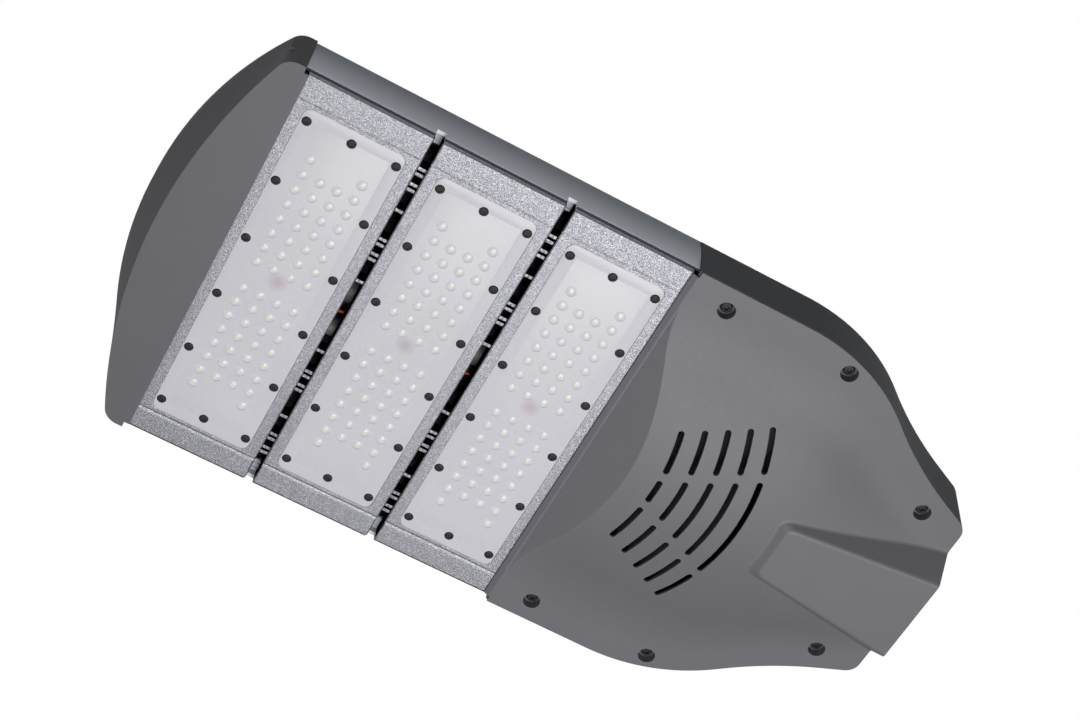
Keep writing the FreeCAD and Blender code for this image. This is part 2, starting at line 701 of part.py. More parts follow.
def dome(centre):
    """A short faceted cone that stands for one lens dome."""
    rings = []
    for radius, z in ((DOME_BASE_R, LENS_Z), (DOME_TOP_R, LENS_Z - DOME_HEIGHT)):
        points = []
        for i in range(DOME_SIDES):
            angle = 2 * math.pi * (i + 0.5) / DOME_SIDES
            points.append(V(centre[0] + radius * math.cos(angle), centre[1] + radius * math.sin(angle), z))
        rings.append(Part.makePolygon(points + points[:1]))
    return Part.makeLoft(rings, True, True)


def lens_plate(x):
    plate = rounded_plate(x, 0, LENS_WIDTH, LENS_LENGTH, LENS_CORNER, LENS_Z, GASKET_Z)
    tools = []
    for dx, y in lens_screw_places():
        tools.append(rod(V(x + dx, y, LENS_Z), Z_AXIS, LENS_SCREW_R + CLEAR, LENS_THICKNESS))
    plate = plate.cut(Part.makeCompound(tools))
    domes = [dome((x + dx, y)) for dx, y in led_places()]
    return plate.fuse(domes).removeSplitter()


def lens_screws(x):
    screws = []
    for dx, y in lens_screw_places():
        seat = V(x + dx, y, LENS_Z)
        body = screw(seat, Z_AXIS, LENS_SCREW_HEAD_R, LENS_SCREW_HEAD, LENS_SCREW_R, LENS_SCREW_LENGTH)
        socket = prism(seat - Z_AXIS * LENS_SCREW_HEAD, SOCKET_ACROSS_R, 6, SOCKET_DEPTH)
        screws.append(body.cut(socket))
    return screws


# Tail housing and driver cover

def turn_along(point, heading, radius, degrees):
    """End point, middle point and end heading of an arc that starts along a heading."""
    sign = 1 if degrees > 0 else -1
    normal = heading + sign * math.pi / 2
    centre = V(point.x + radius * math.cos(normal), point.y + radius * math.sin(normal), 0)
    spots = []
    for share in (0.5, 1.0):
        angle = normal + math.pi + math.radians(degrees) * share
        spots.append(V(centre.x + radius * math.cos(angle), centre.y + radius * math.sin(angle), 0))
    return spots[0], spots[1], heading + math.radians(degrees)


def tail_outline(inset, z, front):
    """Plan outline of tail housing and cover, half of it walked from the bay to the mouth."""
    start = V(front, HALF_WIDTH - inset, 0)
    shoulder = V(SHOULDER_X, HALF_WIDTH - inset, 0)
    heading = math.pi
    mid1, waist, heading = turn_along(shoulder, heading, SHOULDER_RADIUS - inset, SHOULDER_TURN)
    mid2, run, heading = turn_along(waist, heading, WAIST_RADIUS + inset, -WAIST_TURN)
    end_x = inset
    step = V(math.cos(heading), math.sin(heading), 0)
    corner_point = run + step * ((end_x - run.x) / step.x)
    turn = math.pi / 2 - (heading - math.pi)
    radius = TAIL_CORNER - inset if TAIL_CORNER - inset > 1 else 1.0
    setback = radius * math.tan(turn / 2)
    before = corner_point - step * setback
    after = V(end_x, corner_point.y - setback, 0)
    mid3 = turn_along(before, heading, radius, math.degrees(turn))[0]
    upper = [start, shoulder, mid1, waist, mid2, run, before, mid3, after]
    lower = [V(p.x, -p.y, 0) for p in upper]
    edges = []
    for side in (upper, lower):
        edges += [line(side[0], side[1]), arc(side[1], side[2], side[3]), arc(side[3], side[4], side[5]),
                  line(side[5], side[6]), arc(side[6], side[7], side[8])]
    edges += [line(upper[0], lower[0]), line(upper[8], lower[8])]
    outline = wire(edges)
    outline.translate(V(0, 0, z))
    return outline


def tail_crown(drop):
    """Body under the tail's crown, which falls towards the mouth."""
    half = 1.1 * HALF_WIDTH
    sections = []
    stations = ((TAIL_LENGTH + 1, 0.0), (TAIL_LENGTH / 2, 0.15), (-1.0, 1.0))
    for x, share in stations:
        edge_z = crown_top(HALF_WIDTH) - drop - (crown_top(HALF_WIDTH) - crown_top(half))
        top_z = CROWN_Z - TAIL_CROWN_DROP * share - drop
        points = [V(x, -half, edge_z), V(x, half, edge_z), V(x, half, -FAR), V(x, -half, -FAR)]
        sections.append(Part.Wire([
            arc(points[0], V(x, 0, top_z), points[1]),
            line(points[1], points[2]),
            line(points[2], points[3]),
            line(points[3], points[0]),
        ]))
    return Part.makeLoft(sections, True, False)


def tail_body(inset, front, bottom):
    block = raise_face(tail_outline(inset, bottom, front), FAR / 4)
    return block.common(tail_crown(inset))


def well_places():
    wells = [(TAIL_LENGTH - setback, HALF_WIDTH - WELL_SIDE_MARGIN) for setback in WELL_SETBACKS]
    wells.append((REAR_WELL_X, HALF_WIDTH - REAR_WELL_MARGIN))
    return [V(x, side * y, 0) for x, y in wells for side in (1, -1)]


def driver_boss_places():
    y = DRIVER_LENGTH / 2 + DRIVER_FLANGE / 2
    return [V(DRIVER_X + end * DRIVER_BOSS_SPACING / 2, side * y, DRIVER_TOP_Z)
            for end in (-1, 1) for side in (-1, 1)]


def terminal_post():
    return V(TAIL_LENGTH - TERMINAL_SETBACK, TERMINAL_Y, TERMINAL_TOP_Z)


def surge_post():
    return V(TAIL_LENGTH - SURGE_SETBACK, SURGE_Y, SURGE_TOP_Z)


def set_screw_line(side):
    """Direction of a set screw from the socket's axis, outwards and down."""
    angle = math.radians(SET_SCREW_ANGLE)
    return V(0, side * math.sin(angle), -math.cos(angle))


def rim_band(outer_inset, inner_inset, eye_r, z, height):
    """A flat band inside the outline, with an eye round each well of the cover."""
    plan = raise_face(tail_outline(outer_inset, z, TAIL_LENGTH - outer_inset), height)
    hole = raise_face(tail_outline(inner_inset, z - 1, TAIL_LENGTH - inner_inset), height + 2)
    eyes = [rod(V(p.x, p.y, z), Z_AXIS, eye_r, height).common(plan) for p in well_places()]
    return fused([plan.cut(hole)] + eyes)


def tail_housing():
    outer = round_tail_top(tail_body(0, TAIL_LENGTH, SEAM_Z))
    inner = tail_body(CASTING_WALL, TAIL_LENGTH - CASTING_WALL, SEAM_Z - 1)
    well_relief = [rod(V(p.x, p.y, SEAM_Z - 1), Z_AXIS, CUP_R + WELL_GAP, WELL_TOP_Z - SEAM_Z + 1)
                   for p in well_places()]
    shell = outer.cut(inner)
    eye_r = CUP_R + WELL_GAP + SEAL_WIDTH + RIM_OVER_SEAL
    rim = rim_band(CASTING_WALL / 2, RIM_WIDTH, eye_r, SEAM_Z + SEAL_THICKNESS, RIM_THICKNESS)
    posts = [rod(V(p.x, p.y, WELL_TOP_Z), Z_AXIS, BOSS_R, FAR / 4) for p in well_places()]
    posts += [rod(p, Z_AXIS, DRIVER_BOSS_R, FAR / 4) for p in driver_boss_places()]
    posts += [rod(p, Z_AXIS, DRIVER_BOSS_R, FAR / 4) for p in (terminal_post(), surge_post())]
    posts.append(rod(V(0, 0, 0), X_AXIS, SOCKET_OUTER_R, SOCKET_LENGTH))
    for y in (-SOCKET_WEB_Y, SOCKET_WEB_Y):
        posts.append(box(0, SOCKET_LENGTH, y - SOCKET_WEB / 2, y + SOCKET_WEB / 2, SOCKET_R / 2, FAR / 4))
    for side in (-1, 1):
        posts.append(rod(V(SET_SCREW_X, 0, 0), set_screw_line(side), SET_BOSS_R, SET_BOSS_REACH))
    allowed = outer.fuse(box(0, SOCKET_LENGTH, -SET_BOSS_REACH, SET_BOSS_REACH, -SET_BOSS_REACH, 0))
    posts = [post.common(allowed) for post in posts]
    frame = shell.fuse(rim).cut(Part.makeCompound(well_relief))
    body = fused([frame] + posts + end_lugs(TAIL_LENGTH - 1, TAIL_LENGTH + LUG_LENGTH))
    tools = [rod(V(-1, 0, 0), X_AXIS, SOCKET_R, SOCKET_LENGTH + 2)]
    for p in well_places():
        tools.append(rod(V(p.x, p.y, WELL_TOP_Z), Z_AXIS, COVER_SCREW_R, COVER_SCREW_LENGTH))
    for p in driver_boss_places():
        tools.append(rod(p, Z_AXIS, DRIVER_SCREW_R, DRIVER_SCREW_LENGTH))
    for side in (-1, 1):
        tools.append(rod(V(SET_SCREW_X, 0, 0), set_screw_line(side), SET_SCREW_R, FAR / 4))
    for seat, way in rail_screw_places():
        tools.append(rod(seat, way, RAIL_SCREW_R + CLEAR, LUG_DEPTH))
    tools.append(rod(V(TAIL_LENGTH - 2 * CASTING_WALL, LEAD_Y, LEAD_Z), X_AXIS, GLAND_THREAD_R, 3 * CASTING_WALL))
    return cut_all(body, tools)


def round_tail_top(body):
    edges = []
    for edge in body.Edges:
        extent = edge.BoundBox
        high = extent.ZMin > EDGE_Z - 2
        front = extent.XMin > TAIL_LENGTH - 0.5
        if high and not front:
            edges.append(edge)
    return body.makeFillet(TOP_ROUND, edges)


def dome_section(x, height, half, shift):
    """Flange, concave foot, convex crest, and the same again, closed inside the lamp."""
    theta = 2 * math.atan(height / half)
    total = half / math.sin(theta)
    crest = total * DOME_CREST_SHARE
    foot = total - crest
    base = FLANGE_Z + shift
    apex = base - height
    wide = HALF_WIDTH + 5
    top = SEAM_Z + 6

    def crest_point(angle):
        return V(x, crest * math.sin(angle), apex + crest * (1 - math.cos(angle)))

    def foot_point(angle):
        return V(x, half - foot * math.sin(angle), base - foot * (1 - math.cos(angle)))

    def other(p):
        return V(p.x, -p.y, p.z)

    inflection = crest_point(theta)
    foot_end = V(x, half, base)
    foot_mid = foot_point(theta / 2)
    edge = V(x, wide, base)
    roof = V(x, wide, top)
    return Part.Wire([
        line(roof, edge),
        line(edge, foot_end),
        arc(foot_end, foot_mid, inflection),
        arc(inflection, crest_point(0), other(inflection)),
        arc(other(inflection), other(foot_mid), other(foot_end)),
        line(other(foot_end), other(edge)),
        line(other(edge), other(roof)),
        line(other(roof), roof),
    ])


def dome_body(shift):
    """The cover's domed mass, cut by the slope of its front."""
    sections = [dome_section(share * TAIL_LENGTH, height, HALF_WIDTH - margin, shift)
                for share, height, margin in DOME_STATIONS]
    body = Part.makeLoft(sections, True, False)
    normal = V(FRONT_SLOPE_DROP, 0, -FRONT_SLOPE_RUN)
    return keep_behind(body, V(TAIL_LENGTH - COVER_FRONT_GAP, 0, FLANGE_Z + shift), normal)


def hump_body(wall):
    """The raised cover over the socket: a tapered block with sloped sides."""
    block = box(0, TAIL_LENGTH, -HALF_WIDTH, HALF_WIDTH, 2 * HUMP_TOP_TAIL_Z, SEAM_Z)
    slope = HUMP_TOP_FRONT_Z - HUMP_TOP_TAIL_Z
    block = keep_behind(block, V(0, 0, HUMP_TOP_TAIL_Z + wall), V(slope, 0, -HUMP_LENGTH))
    narrowing = (HUMP_HALF_TAIL - HUMP_HALF_FRONT - slope * HUMP_SIDE_SLOPE) / HUMP_LENGTH
    for side in (-1, 1):
        point = V(0, side * (HUMP_HALF_TAIL - wall), HUMP_TOP_TAIL_Z)
        block = keep_behind(block, point, V(narrowing, side, -HUMP_SIDE_SLOPE))
    front = V(HUMP_LENGTH - wall, 0, HUMP_TOP_FRONT_Z)
    block = keep_behind(block, front, V(1, 0, -HUMP_NOSE_SLOPE))
    corners = [e for e in block.Edges if e.BoundBox.XMin > HUMP_LENGTH / 2 and e.BoundBox.ZLength > HUMP_CORNER]
    return block.makeFillet(HUMP_CORNER - wall, corners)


def rounded_hump():
    body = hump_body(0)
    edges = [e for e in body.Edges if e.BoundBox.ZMax < SEAM_Z - 1 and e.BoundBox.XMax > 1]
    return body.makeFillet(HUMP_ROUND, edges)


def on_surface(shape, point):
    return Part.makeCompound(shape.Faces).distToShape(Part.Vertex(point))[0] < 0.01


def domed_mass(plan):
    """Dome and hump in one, with a rounded foot where they meet."""
    dome = dome_body(0).common(plan)
    hump = rounded_hump().common(plan)
    mass = fused([dome, hump])
    foot = []
    for edge in mass.Edges:
        middle = edge.valueAt((edge.FirstParameter + edge.LastParameter) / 2)
        outside = middle.x > 1 and middle.z < FLANGE_Z - 1
        if outside and on_surface(hump, middle) and on_surface(dome, middle):
            foot.append(edge)
    return mass.makeFillet(HUMP_FOOT_ROUND, foot)


def vent_slot(row, first, last):
    """A curved slot with round ends, between two arc lengths from the middle."""
    apex = TAIL_LENGTH - VENT_SETBACK - row * VENT_PITCH
    centre_x = apex + VENT_RADIUS

    def at(radius, length):
        angle = length / VENT_RADIUS
        return V(centre_x - radius * math.cos(angle), radius * math.sin(angle), -SLOT_FACE)

    outer, inner = VENT_RADIUS + VENT_WIDTH / 2, VENT_RADIUS - VENT_WIDTH / 2
    middle = (first + last) / 2
    cap = VENT_WIDTH / 2
    outline = Part.Wire([
        arc(at(outer, first), at(outer, middle), at(outer, last)),
        arc(at(outer, last), at(VENT_RADIUS, last + cap), at(inner, last)),
        arc(at(inner, last), at(inner, middle), at(inner, first)),
        arc(at(inner, first), at(VENT_RADIUS, first - cap), at(outer, first)),
    ])
    return raise_face(outline, SLOT_FACE + SEAM_Z)


def vents():
    slots = []
    for row in range(VENT_ROWS):
        half = VENT_HALF_FIRST + row * VENT_HALF_STEP
        near, far = half + VENT_BRIDGE, half + VENT_BRIDGE + VENT_SIDE_LENGTH
        slots += [vent_slot(row, -half, half), vent_slot(row, near, far), vent_slot(row, -far, -near)]
    return slots


def driver_cover():
    front = TAIL_LENGTH - COVER_FRONT_GAP
    plan = raise_face(tail_outline(0, -FAR / 4, front), FAR / 4 + SEAM_Z)
    mass = domed_mass(plan)
    hollow_plan = raise_face(tail_outline(COVER_WALL, -FAR / 4, front - COVER_WALL), FAR / 4 + SEAM_Z + 4)
    dome_hollow = dome_body(COVER_WALL).cut(box(-5, FAR, -FAR, FAR, SEAM_Z, FAR))
    hollow = dome_hollow.common(hollow_plan)
    hump_hollow = hump_body(COVER_WALL).common(hollow_plan)
    body = mass.cut(hollow).cut(hump_hollow)
    cups = [rod(V(p.x, p.y, FLANGE_Z - 3), Z_AXIS, CUP_R, WELL_TOP_Z - FLANGE_Z + 3)
            for p in well_places()]
    roof = dome_body(0).fuse(box(-5, FAR, -FAR, FAR, SEAM_Z, FAR))
    cups = [cup.common(roof) for cup in cups]
    strip = edge_strip(front - COVER_WALL / 2, TAIL_LENGTH + STRIP_REACH, FLANGE_Z, COVER_WALL)
    body = fused([body, strip] + cups)
    tools = vents()
    for p in well_places():
        tools.append(rod(V(p.x, p.y, FLANGE_Z - 20), Z_AXIS, WELL_R, WELL_FLOOR_Z - FLANGE_Z + 20))
        tools.append(rod(V(p.x, p.y, WELL_FLOOR_Z), Z_AXIS, COVER_SCREW_R + CLEAR, WELL_FLOOR))
    tools.append(rod(V(-1, 0, 0), X_AXIS, SOCKET_OUTER_R + ARCH_CLEARANCE, COVER_WALL + 2))
    return solid_of(cut_all(body, tools))


def cover_gasket():
    eye_r = CUP_R + WELL_GAP + SEAL_WIDTH
    band = rim_band(SEAL_INSET, SEAL_INSET + SEAL_WIDTH, eye_r, SEAM_Z, SEAL_THICKNESS)
    tools = [rod(V(-1, 0, 0), X_AXIS, SOCKET_OUTER_R + ARCH_CLEARANCE, SOCKET_LENGTH)]
    for p in well_places():
        tools.append(rod(V(p.x, p.y, SEAM_Z - 1), Z_AXIS, CUP_R + WELL_GAP, SEAL_THICKNESS + 2))
    return solid_of(band.cut(Part.makeCompound(tools)))


def cover_screws():
    screws = []
    for p in well_places():
        seat = V(p.x, p.y, WELL_FLOOR_Z)
        screws.append(screw(seat, Z_AXIS, COVER_SCREW_HEAD_R, COVER_SCREW_HEAD, COVER_SCREW_R, COVER_SCREW_LENGTH))
    return screws


def arm_set_screws():
    """Short socket screws that grip the arm through the socket's lower wall."""
    screws = []
    for side in (-1, 1):
        direction = set_screw_line(side)
        tip = V(SET_SCREW_X, 0, 0) + direction * (SOCKET_R + CLEAR)
        screws.append(rod(tip, direction, SET_SCREW_R, SET_SCREW_LENGTH))
    return screws


# Driver bay

def driver():
    bottom = DRIVER_TOP_Z - DRIVER_HEIGHT
    half_x, half_y = DRIVER_WIDTH / 2, DRIVER_LENGTH / 2
    case = box(DRIVER_X - half_x, DRIVER_X + half_x, -half_y, half_y, bottom, DRIVER_TOP_Z)
    flange_y = half_y + DRIVER_FLANGE
    flanges = box(DRIVER_X - half_x, DRIVER_X + half_x, -flange_y, flange_y,
                  DRIVER_TOP_Z - DRIVER_FLANGE_THICKNESS, DRIVER_TOP_Z)
    holes = [rod(p - Z_AXIS * DRIVER_FLANGE_THICKNESS, Z_AXIS, DRIVER_SCREW_R + CLEAR, DRIVER_FLANGE_THICKNESS)
             for p in driver_boss_places()]
    return cut_all(fused([case, flanges]), holes)


def driver_screws():
    return [screw(p - Z_AXIS * DRIVER_FLANGE_THICKNESS, Z_AXIS, DRIVER_SCREW_HEAD_R, DRIVER_SCREW_HEAD,
                  DRIVER_SCREW_R, DRIVER_SCREW_LENGTH) for p in driver_boss_places()]


def block_under(post, size):
    return box(post.x - size[0] / 2, post.x + size[0] / 2, post.y - size[1] / 2, post.y + size[1] / 2,
               post.z - size[2], post.z)


def terminal_block():
    post = terminal_post()
    width, length, height = TERMINAL_SIZE
    pitch = length / TERMINAL_WAYS
    cuts = []
    for i in range(TERMINAL_WAYS):
        y = post.y - length / 2 + (i + 0.5) * pitch
        for x in (post.x - width / 2, post.x + width / 2):
            cuts.append(box(x - TERMINAL_WAY_DEPTH, x + TERMINAL_WAY_DEPTH, y - pitch / 3, y + pitch / 3,
                            post.z - height - 1, post.z - height / 2))
    return cut_all(block_under(post, TERMINAL_SIZE), cuts)


def surge_protector():
    body = block_under(surge_post(), SURGE_SIZE)
    low = [e for e in body.Edges if e.BoundBox.ZMax < SURGE_TOP_Z - SURGE_SIZE[2] + 1]
    return body.makeFillet(SURGE_ROUND, low)


# Leads of the modules, one behind the other as far as the driver

def gland(face, direction, thread):
    """A cable gland: nut and cone outside a wall, its thread through the wall."""
    nut = rod(face, direction, GLAND_NUT_R, GLAND_NUT)
    cone = Part.makeCone(GLAND_NUT_R, GLAND_THREAD_R, GLAND_CONE, face + direction * GLAND_NUT, direction)
    bolt = rod(face - direction * thread, direction, GLAND_THREAD_R, thread)
    bore = rod(face - direction * (thread + 1), direction, LEAD_R, thread + GLAND_NUT + GLAND_CONE + 2)
    return fused([nut, cone, bolt]).cut(bore)


def lead_box(x):
    """Moulded wire box over the hole where a module's leads come up."""
    z1 = BASE_TOP_Z + LEAD_BOX_HEIGHT
    body = rounded_plate(x, LEAD_Y, LEAD_BOX, LEAD_BOX, LEAD_BOX_CORNER, BASE_TOP_Z, z1)
    return cut_all(body, [rod(V(x, LEAD_HOLE_Y, BASE_TOP_Z), Z_AXIS, LEAD_R, LEAD_BOX_HEIGHT / 3)])


def module_glands():
    """Outlet glands towards the tail, and inlet glands on all but the foremost module."""
    glands = [gland(V(x - LEAD_BOX / 2, LEAD_Y, LEAD_Z), -X_AXIS, 0) for x in MODULE_X]
    return glands + [gland(V(x + LEAD_BOX / 2, LEAD_Y, LEAD_Z), X_AXIS, 0) for x in MODULE_X[1:]]


def bulkhead_gland():
    return gland(V(TAIL_LENGTH - CASTING_WALL, LEAD_Y, LEAD_Z), -X_AXIS, CASTING_WALL)


def connector(x):
    """Two-part watertight connector that bridges the gap at x."""
    half = CONNECTOR_LENGTH / 2
    middle = rod(V(x - half + CONNECTOR_RING, LEAD_Y, LEAD_Z), X_AXIS, CONNECTOR_R,
                 CONNECTOR_LENGTH - 2 * CONNECTOR_RING)
    ends = rod(V(x - half, LEAD_Y, LEAD_Z), X_AXIS, CONNECTOR_RING_R, CONNECTOR_LENGTH)
    bore = [rod(V(x + side * half, LEAD_Y, LEAD_Z), X_AXIS * -side, LEAD_R, CONNECTOR_RING) for side in (-1, 1)]
    return cut_all(fused([middle, ends]), bore)


def lead(x0, x1):
    return rod(V(x0, LEAD_Y, LEAD_Z), X_AXIS, LEAD_R, x1 - x0)


def module_leads():
    """Each straight lead by name: a and b are before and behind a connector."""
    plug = CONNECTOR_LENGTH / 2 - CONNECTOR_RING
    leads = {}
    for i, gap in enumerate(gap_centres(), 1):
        leads[f"lead_{i}a"] = lead(gap + plug, MODULE_X[i - 1] - LEAD_BOX / 2)
        leads[f"lead_{i}b"] = lead(MODULE_X[i] + LEAD_BOX / 2, gap - plug)
    leads[f"lead_{MODULES}"] = lead(DRIVER_X + DRIVER_WIDTH / 2, MODULE_X[-1] - LEAD_BOX / 2)
    return leads


def hop(first, last, z):
    """A wire that rises from one board, crosses a gap level at z and goes down to the next."""
    across = (last - first).normalize()
    up = Z_AXIS * WIRE_BEND
    parts = []
    for foot, inward in ((first, across * WIRE_BEND), (last, across * -WIRE_BEND)):
        bend = V(foot.x, foot.y, z) - up
        parts.append(rod(foot, Z_AXIS, WIRE_R, bend.z - foot.z))
        ring = Part.Face(Part.Wire([Part.makeCircle(WIRE_R, bend, Z_AXIS)]))
        parts.append(ring.revolve(bend + inward, Z_AXIS.cross(inward), 90))
    start = V(first.x, first.y, z) + across * WIRE_BEND
    parts.append(rod(start, across, WIRE_R, (last - first).Length - 2 * WIRE_BEND))
    return fused(parts)


def link_feet(x):
    """Where the bare link wire over the gap at x leaves the two boards."""
    return [V(x + side * WIRE_REACH, WIRE_Y - side * WIRE_SLANT, BOARD_TOP_Z) for side in (-1, 1)]


def splice_feet():
    x = gap_centres()[0]
    return [V(x + side * WIRE_REACH, SLEEVE_Y, BOARD_TOP_Z) for side in (-1, 1)]


def wire_feet():
    return [foot for x in gap_centres() for foot in link_feet(x)] + splice_feet()


def link_wires():
    return [hop(*link_feet(x), WIRE_Z) for x in gap_centres()]


def splice_wire():
    return hop(*splice_feet(), BASE_TOP_Z + SLEEVE_R)


def splice_sleeve():
    start = V(gap_centres()[0] - SLEEVE_LENGTH / 2, SLEEVE_Y, BASE_TOP_Z + SLEEVE_R)
    return rod(start, X_AXIS, SLEEVE_R, SLEEVE_LENGTH).cut(rod(start, X_AXIS, WIRE_R, SLEEVE_LENGTH))


def wire_grommets():
    grommets = []
    for foot in wire_feet():
        seat = V(foot.x, foot.y, BASE_TOP_Z)
        ring = rod(seat, Z_AXIS, GROMMET_R, GROMMET_HEIGHT)
        grommets.append(ring.cut(rod(seat, Z_AXIS, WIRE_R, GROMMET_HEIGHT)))
    return grommets


def module_screws():
    return [screw(p, -Z_AXIS, MODULE_SCREW_HEAD_R, MODULE_SCREW_HEAD, MODULE_SCREW_R,
                  LEDGE_THICKNESS + MODULE_SCREW_BITE) for p in module_screw_places()]


def rail_screws():
    return [screw(seat, way, RAIL_SCREW_HEAD_R, RAIL_SCREW_HEAD, RAIL_SCREW_R, LUG_DEPTH + RAIL_SCREW_BITE)
            for seat, way in rail_screw_places()]


def every_piece():
    """Every piece by its name. A list is a group of like solids."""
    rail = side_rail()
    pieces = {
        "nose_cap": nose_cap(),
        "side_rail_left": rail,
        "side_rail_right": rail.mirror(V(0, 0, 0), Y_AXIS),
        "rail_screws": rail_screws(),
        "top_deck": top_deck(),
        "deck_screws": deck_screws(),
        "tail_housing": tail_housing(),
        "driver_cover": driver_cover(),
        "cover_gasket": cover_gasket(),
        "cover_screws": cover_screws(),
        "arm_set_screws": arm_set_screws(),
        "driver": driver(),
        "driver_screws": driver_screws(),
        "terminal_block": terminal_block(),
        "surge_protector": surge_protector(),
        "module_screws": module_screws(),
        "module_glands": module_glands(),
        "bulkhead_gland": bulkhead_gland(),
        "link_wires": link_wires(),
        "splice_wire": splice_wire(),
        "splice_sleeve": splice_sleeve(),
        "wire_grommets": wire_grommets(),
    }
    pieces.update(module_leads())
    for i, x in enumerate(gap_centres(), 1):
        pieces[f"connector_{i}"] = connector(x)
    for i, x in enumerate(MODULE_X, 1):
        pieces[f"module_body_{i}"] = module_body(x)
        pieces[f"lead_box_{i}"] = lead_box(x)
        pieces[f"lens_gasket_{i}"] = lens_gasket(x)
        pieces[f"circuit_board_{i}"] = circuit_board(x)
        pieces[f"leds_{i}"] = leds(x)
        pieces[f"lens_plate_{i}"] = lens_plate(x)
        pieces[f"lens_screws_{i}"] = lens_screws(x)
    return pieces


os.makedirs("parts", exist_ok=True)
for name, shape in every_piece().items():
    if isinstance(shape, list):
        shape = Part.makeCompound(shape)
    shape.exportStep(f"parts/{name}.step")
    print(name, len(shape.Solids), round(shape.Volume), shape.isValid())
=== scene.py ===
import bpy
import bmesh
import math

from mathutils import Matrix, Vector


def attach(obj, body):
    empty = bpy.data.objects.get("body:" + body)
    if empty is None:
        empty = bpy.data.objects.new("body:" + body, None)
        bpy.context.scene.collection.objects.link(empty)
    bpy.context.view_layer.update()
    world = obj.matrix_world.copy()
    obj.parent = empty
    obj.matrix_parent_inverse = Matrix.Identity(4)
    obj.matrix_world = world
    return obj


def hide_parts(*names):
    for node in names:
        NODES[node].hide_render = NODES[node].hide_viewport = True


# The lamp hangs in its own frame: X from the pole to the nose, Y across, Z up, in metres.
# The light leaves towards -Z, and the camera looks up at that side.

# Camera, lights and floor
CAMERA_PLACE = (0.60503, 0.74477, -1.30913)
CAMERA_RIGHT = (-0.88003, 0.46980, 0.06956)
CAMERA_UP = (0.43879, 0.74827, 0.49756)
CAMERA_BACK = (0.18170, 0.46839, -0.86464)
CAMERA_LENS = 71.126
CAMERA_SENSOR = 36.0
CAMERA_END = 50.0
LAMP_CENTRE = (0.30, 0.0, 0.0)
LAMPS = [                 # name, place, size, watts
    ("key", (0.02, 0.05, -1.75), (1.3, 1.2), 29.5),
    ("top", (0.15, -0.5, 2.4), (1.6, 1.2), 30.0),
    ("fill", (1.7, 0.1, -0.9), (1.0, 1.0), 4.0),
]
ROOM_GREY = (0.90, 0.92, 0.96, 1)
ROOM_LIGHT = 0.12         # strength of the grey that lights what the lamps miss
GLOSS_SHARE = 0.22        # of the white background, in what reflects it
FLOOR_Z = -2.6
FLOOR_SIZE = 60.0
FLOOR_GLOW = 0.75         # paleness the floor has for the camera alone

# Module places and levels, as in the source
MODULE_X = (0.520, 0.420, 0.320)
MODULE_PITCH = 0.100
MODULE_SIDE_X = 0.0463    # start of a module's side walls
MODULE_BACK_Z = 0.0029
FIN_REACH = 0.0497
FIN_CLOSING = 0.00029     # that the fins lack to touch those of the next module
FIN_CATCH = 0.0002
FOLD_Y = 0.138            # fold of a module's face, on each side
FOLD_LINE = 0.0030        # reach of the painted shade and highlight beside a fold
# Place across that painted shade and highlight, from 0 to 1, and brightness there
FOLD_PAINTED_SHADES = ((0.20, 1.0), (0.27, 0.50), (0.48, 0.50), (0.54, 1.50), (0.80, 1.35), (0.90, 1.0))
FOLD_FAR_SHARE = 0.1      # of that painted shade and highlight, at the +Y end

# Lens plates and their domes
LENS_Z = -0.0117          # light side of the plates, just under the modules' faces
LENS_BACK_Z = -0.0065
LENS_HALF = (0.0379, 0.1344)   # fills the clearance in the pocket
LENS_CORNER = 0.006
LENS_EDGE = 0.0004
# Groove round the domes: each inset of the light face, and its move in Z
LENS_GROOVE = ((0.0082, 0), (0.0004, 0.0001), (0.0006, 0), (0.0004, -0.0001))
DOME_R = 0.0047
DOME_HEIGHT = 0.0022
DOME_SINK = 0.0010        # how far a dome's widest ring lies inside the plate
DOME_LEE = (-0.50, -0.86, 0.0)   # direction of a dome's shaded side

# LEDs and the sealing compound on the boards
BOARD_Z = -0.0040         # light side of the circuit boards
LED_COLUMNS = (-1.5, -0.5, 0.5, 1.5)
LED_ROWS = (7, 8)         # to each side, in an inner and an outer column
LED_COLUMN_PITCH = 0.0130
LED_PITCH = 0.0127
LED_FIRST_Y = 0.0118
LED_SIZE = 0.0035
LED_HEIGHT = 0.0006
LED_CORNER = 0.0003
PHOSPHOR_R = 0.00145
PHOSPHOR_RISE = 0.13      # share of its radius
SEAL_R = 0.0046
SEAL_SHAPE = (1.15, 0.9, 0.32)
SEAL_Y = 0.004
SEAL_SEEN = (0.0085, 0.0010)   # distances from a spot's middle where it starts and ends to fade in

# Screws that the scene makes anew
LENS_SCREW = {"radius": 0.00365, "height": 0.0024, "socket": 0.0018, "depth": 0.0008,
              "seat_z": -0.0102}
SCREW_ROWS = 6            # of lens screws along a plate
SCREW_OUT_X = 0.0334
SCREW_OUT_Y = 0.1249
COVER_SCREW = {"radius": 0.0046, "height": 0.0034, "socket": 0.0023, "depth": 0.0020,
               "seat_z": -0.0075}
HEAD_ROUND = 0.42         # rounding of a head, as a share of its radius
HEAD_ROUND_LIMIT = 0.7    # and at most this share of its height
COVER_WELLS = ((0.2405, 0.1433), (0.1415, 0.1433), (0.0350, 0.0718))

# Strips along the nose and the cover, drawn up to the modules: X, level and move in X of an edge
NOSE_STRIP = (0.5676, -0.0135, -0.0020)
COVER_STRIP = (0.2724, -0.0130, 0.0024)
COVER_STRIP_FOOT = (0.2724, -0.0155, -0.0020)
STRIP_CATCH = 0.0001

RAIL_FOOT_Z = -0.0090
RAIL_TOP_Z = 0.0337
RAIL_ROUND = 0.0085       # how far the rails round off towards their feet, in their relief
RAIL_DARK_Z = -0.0080     # level under which their feet get a painted dark shade
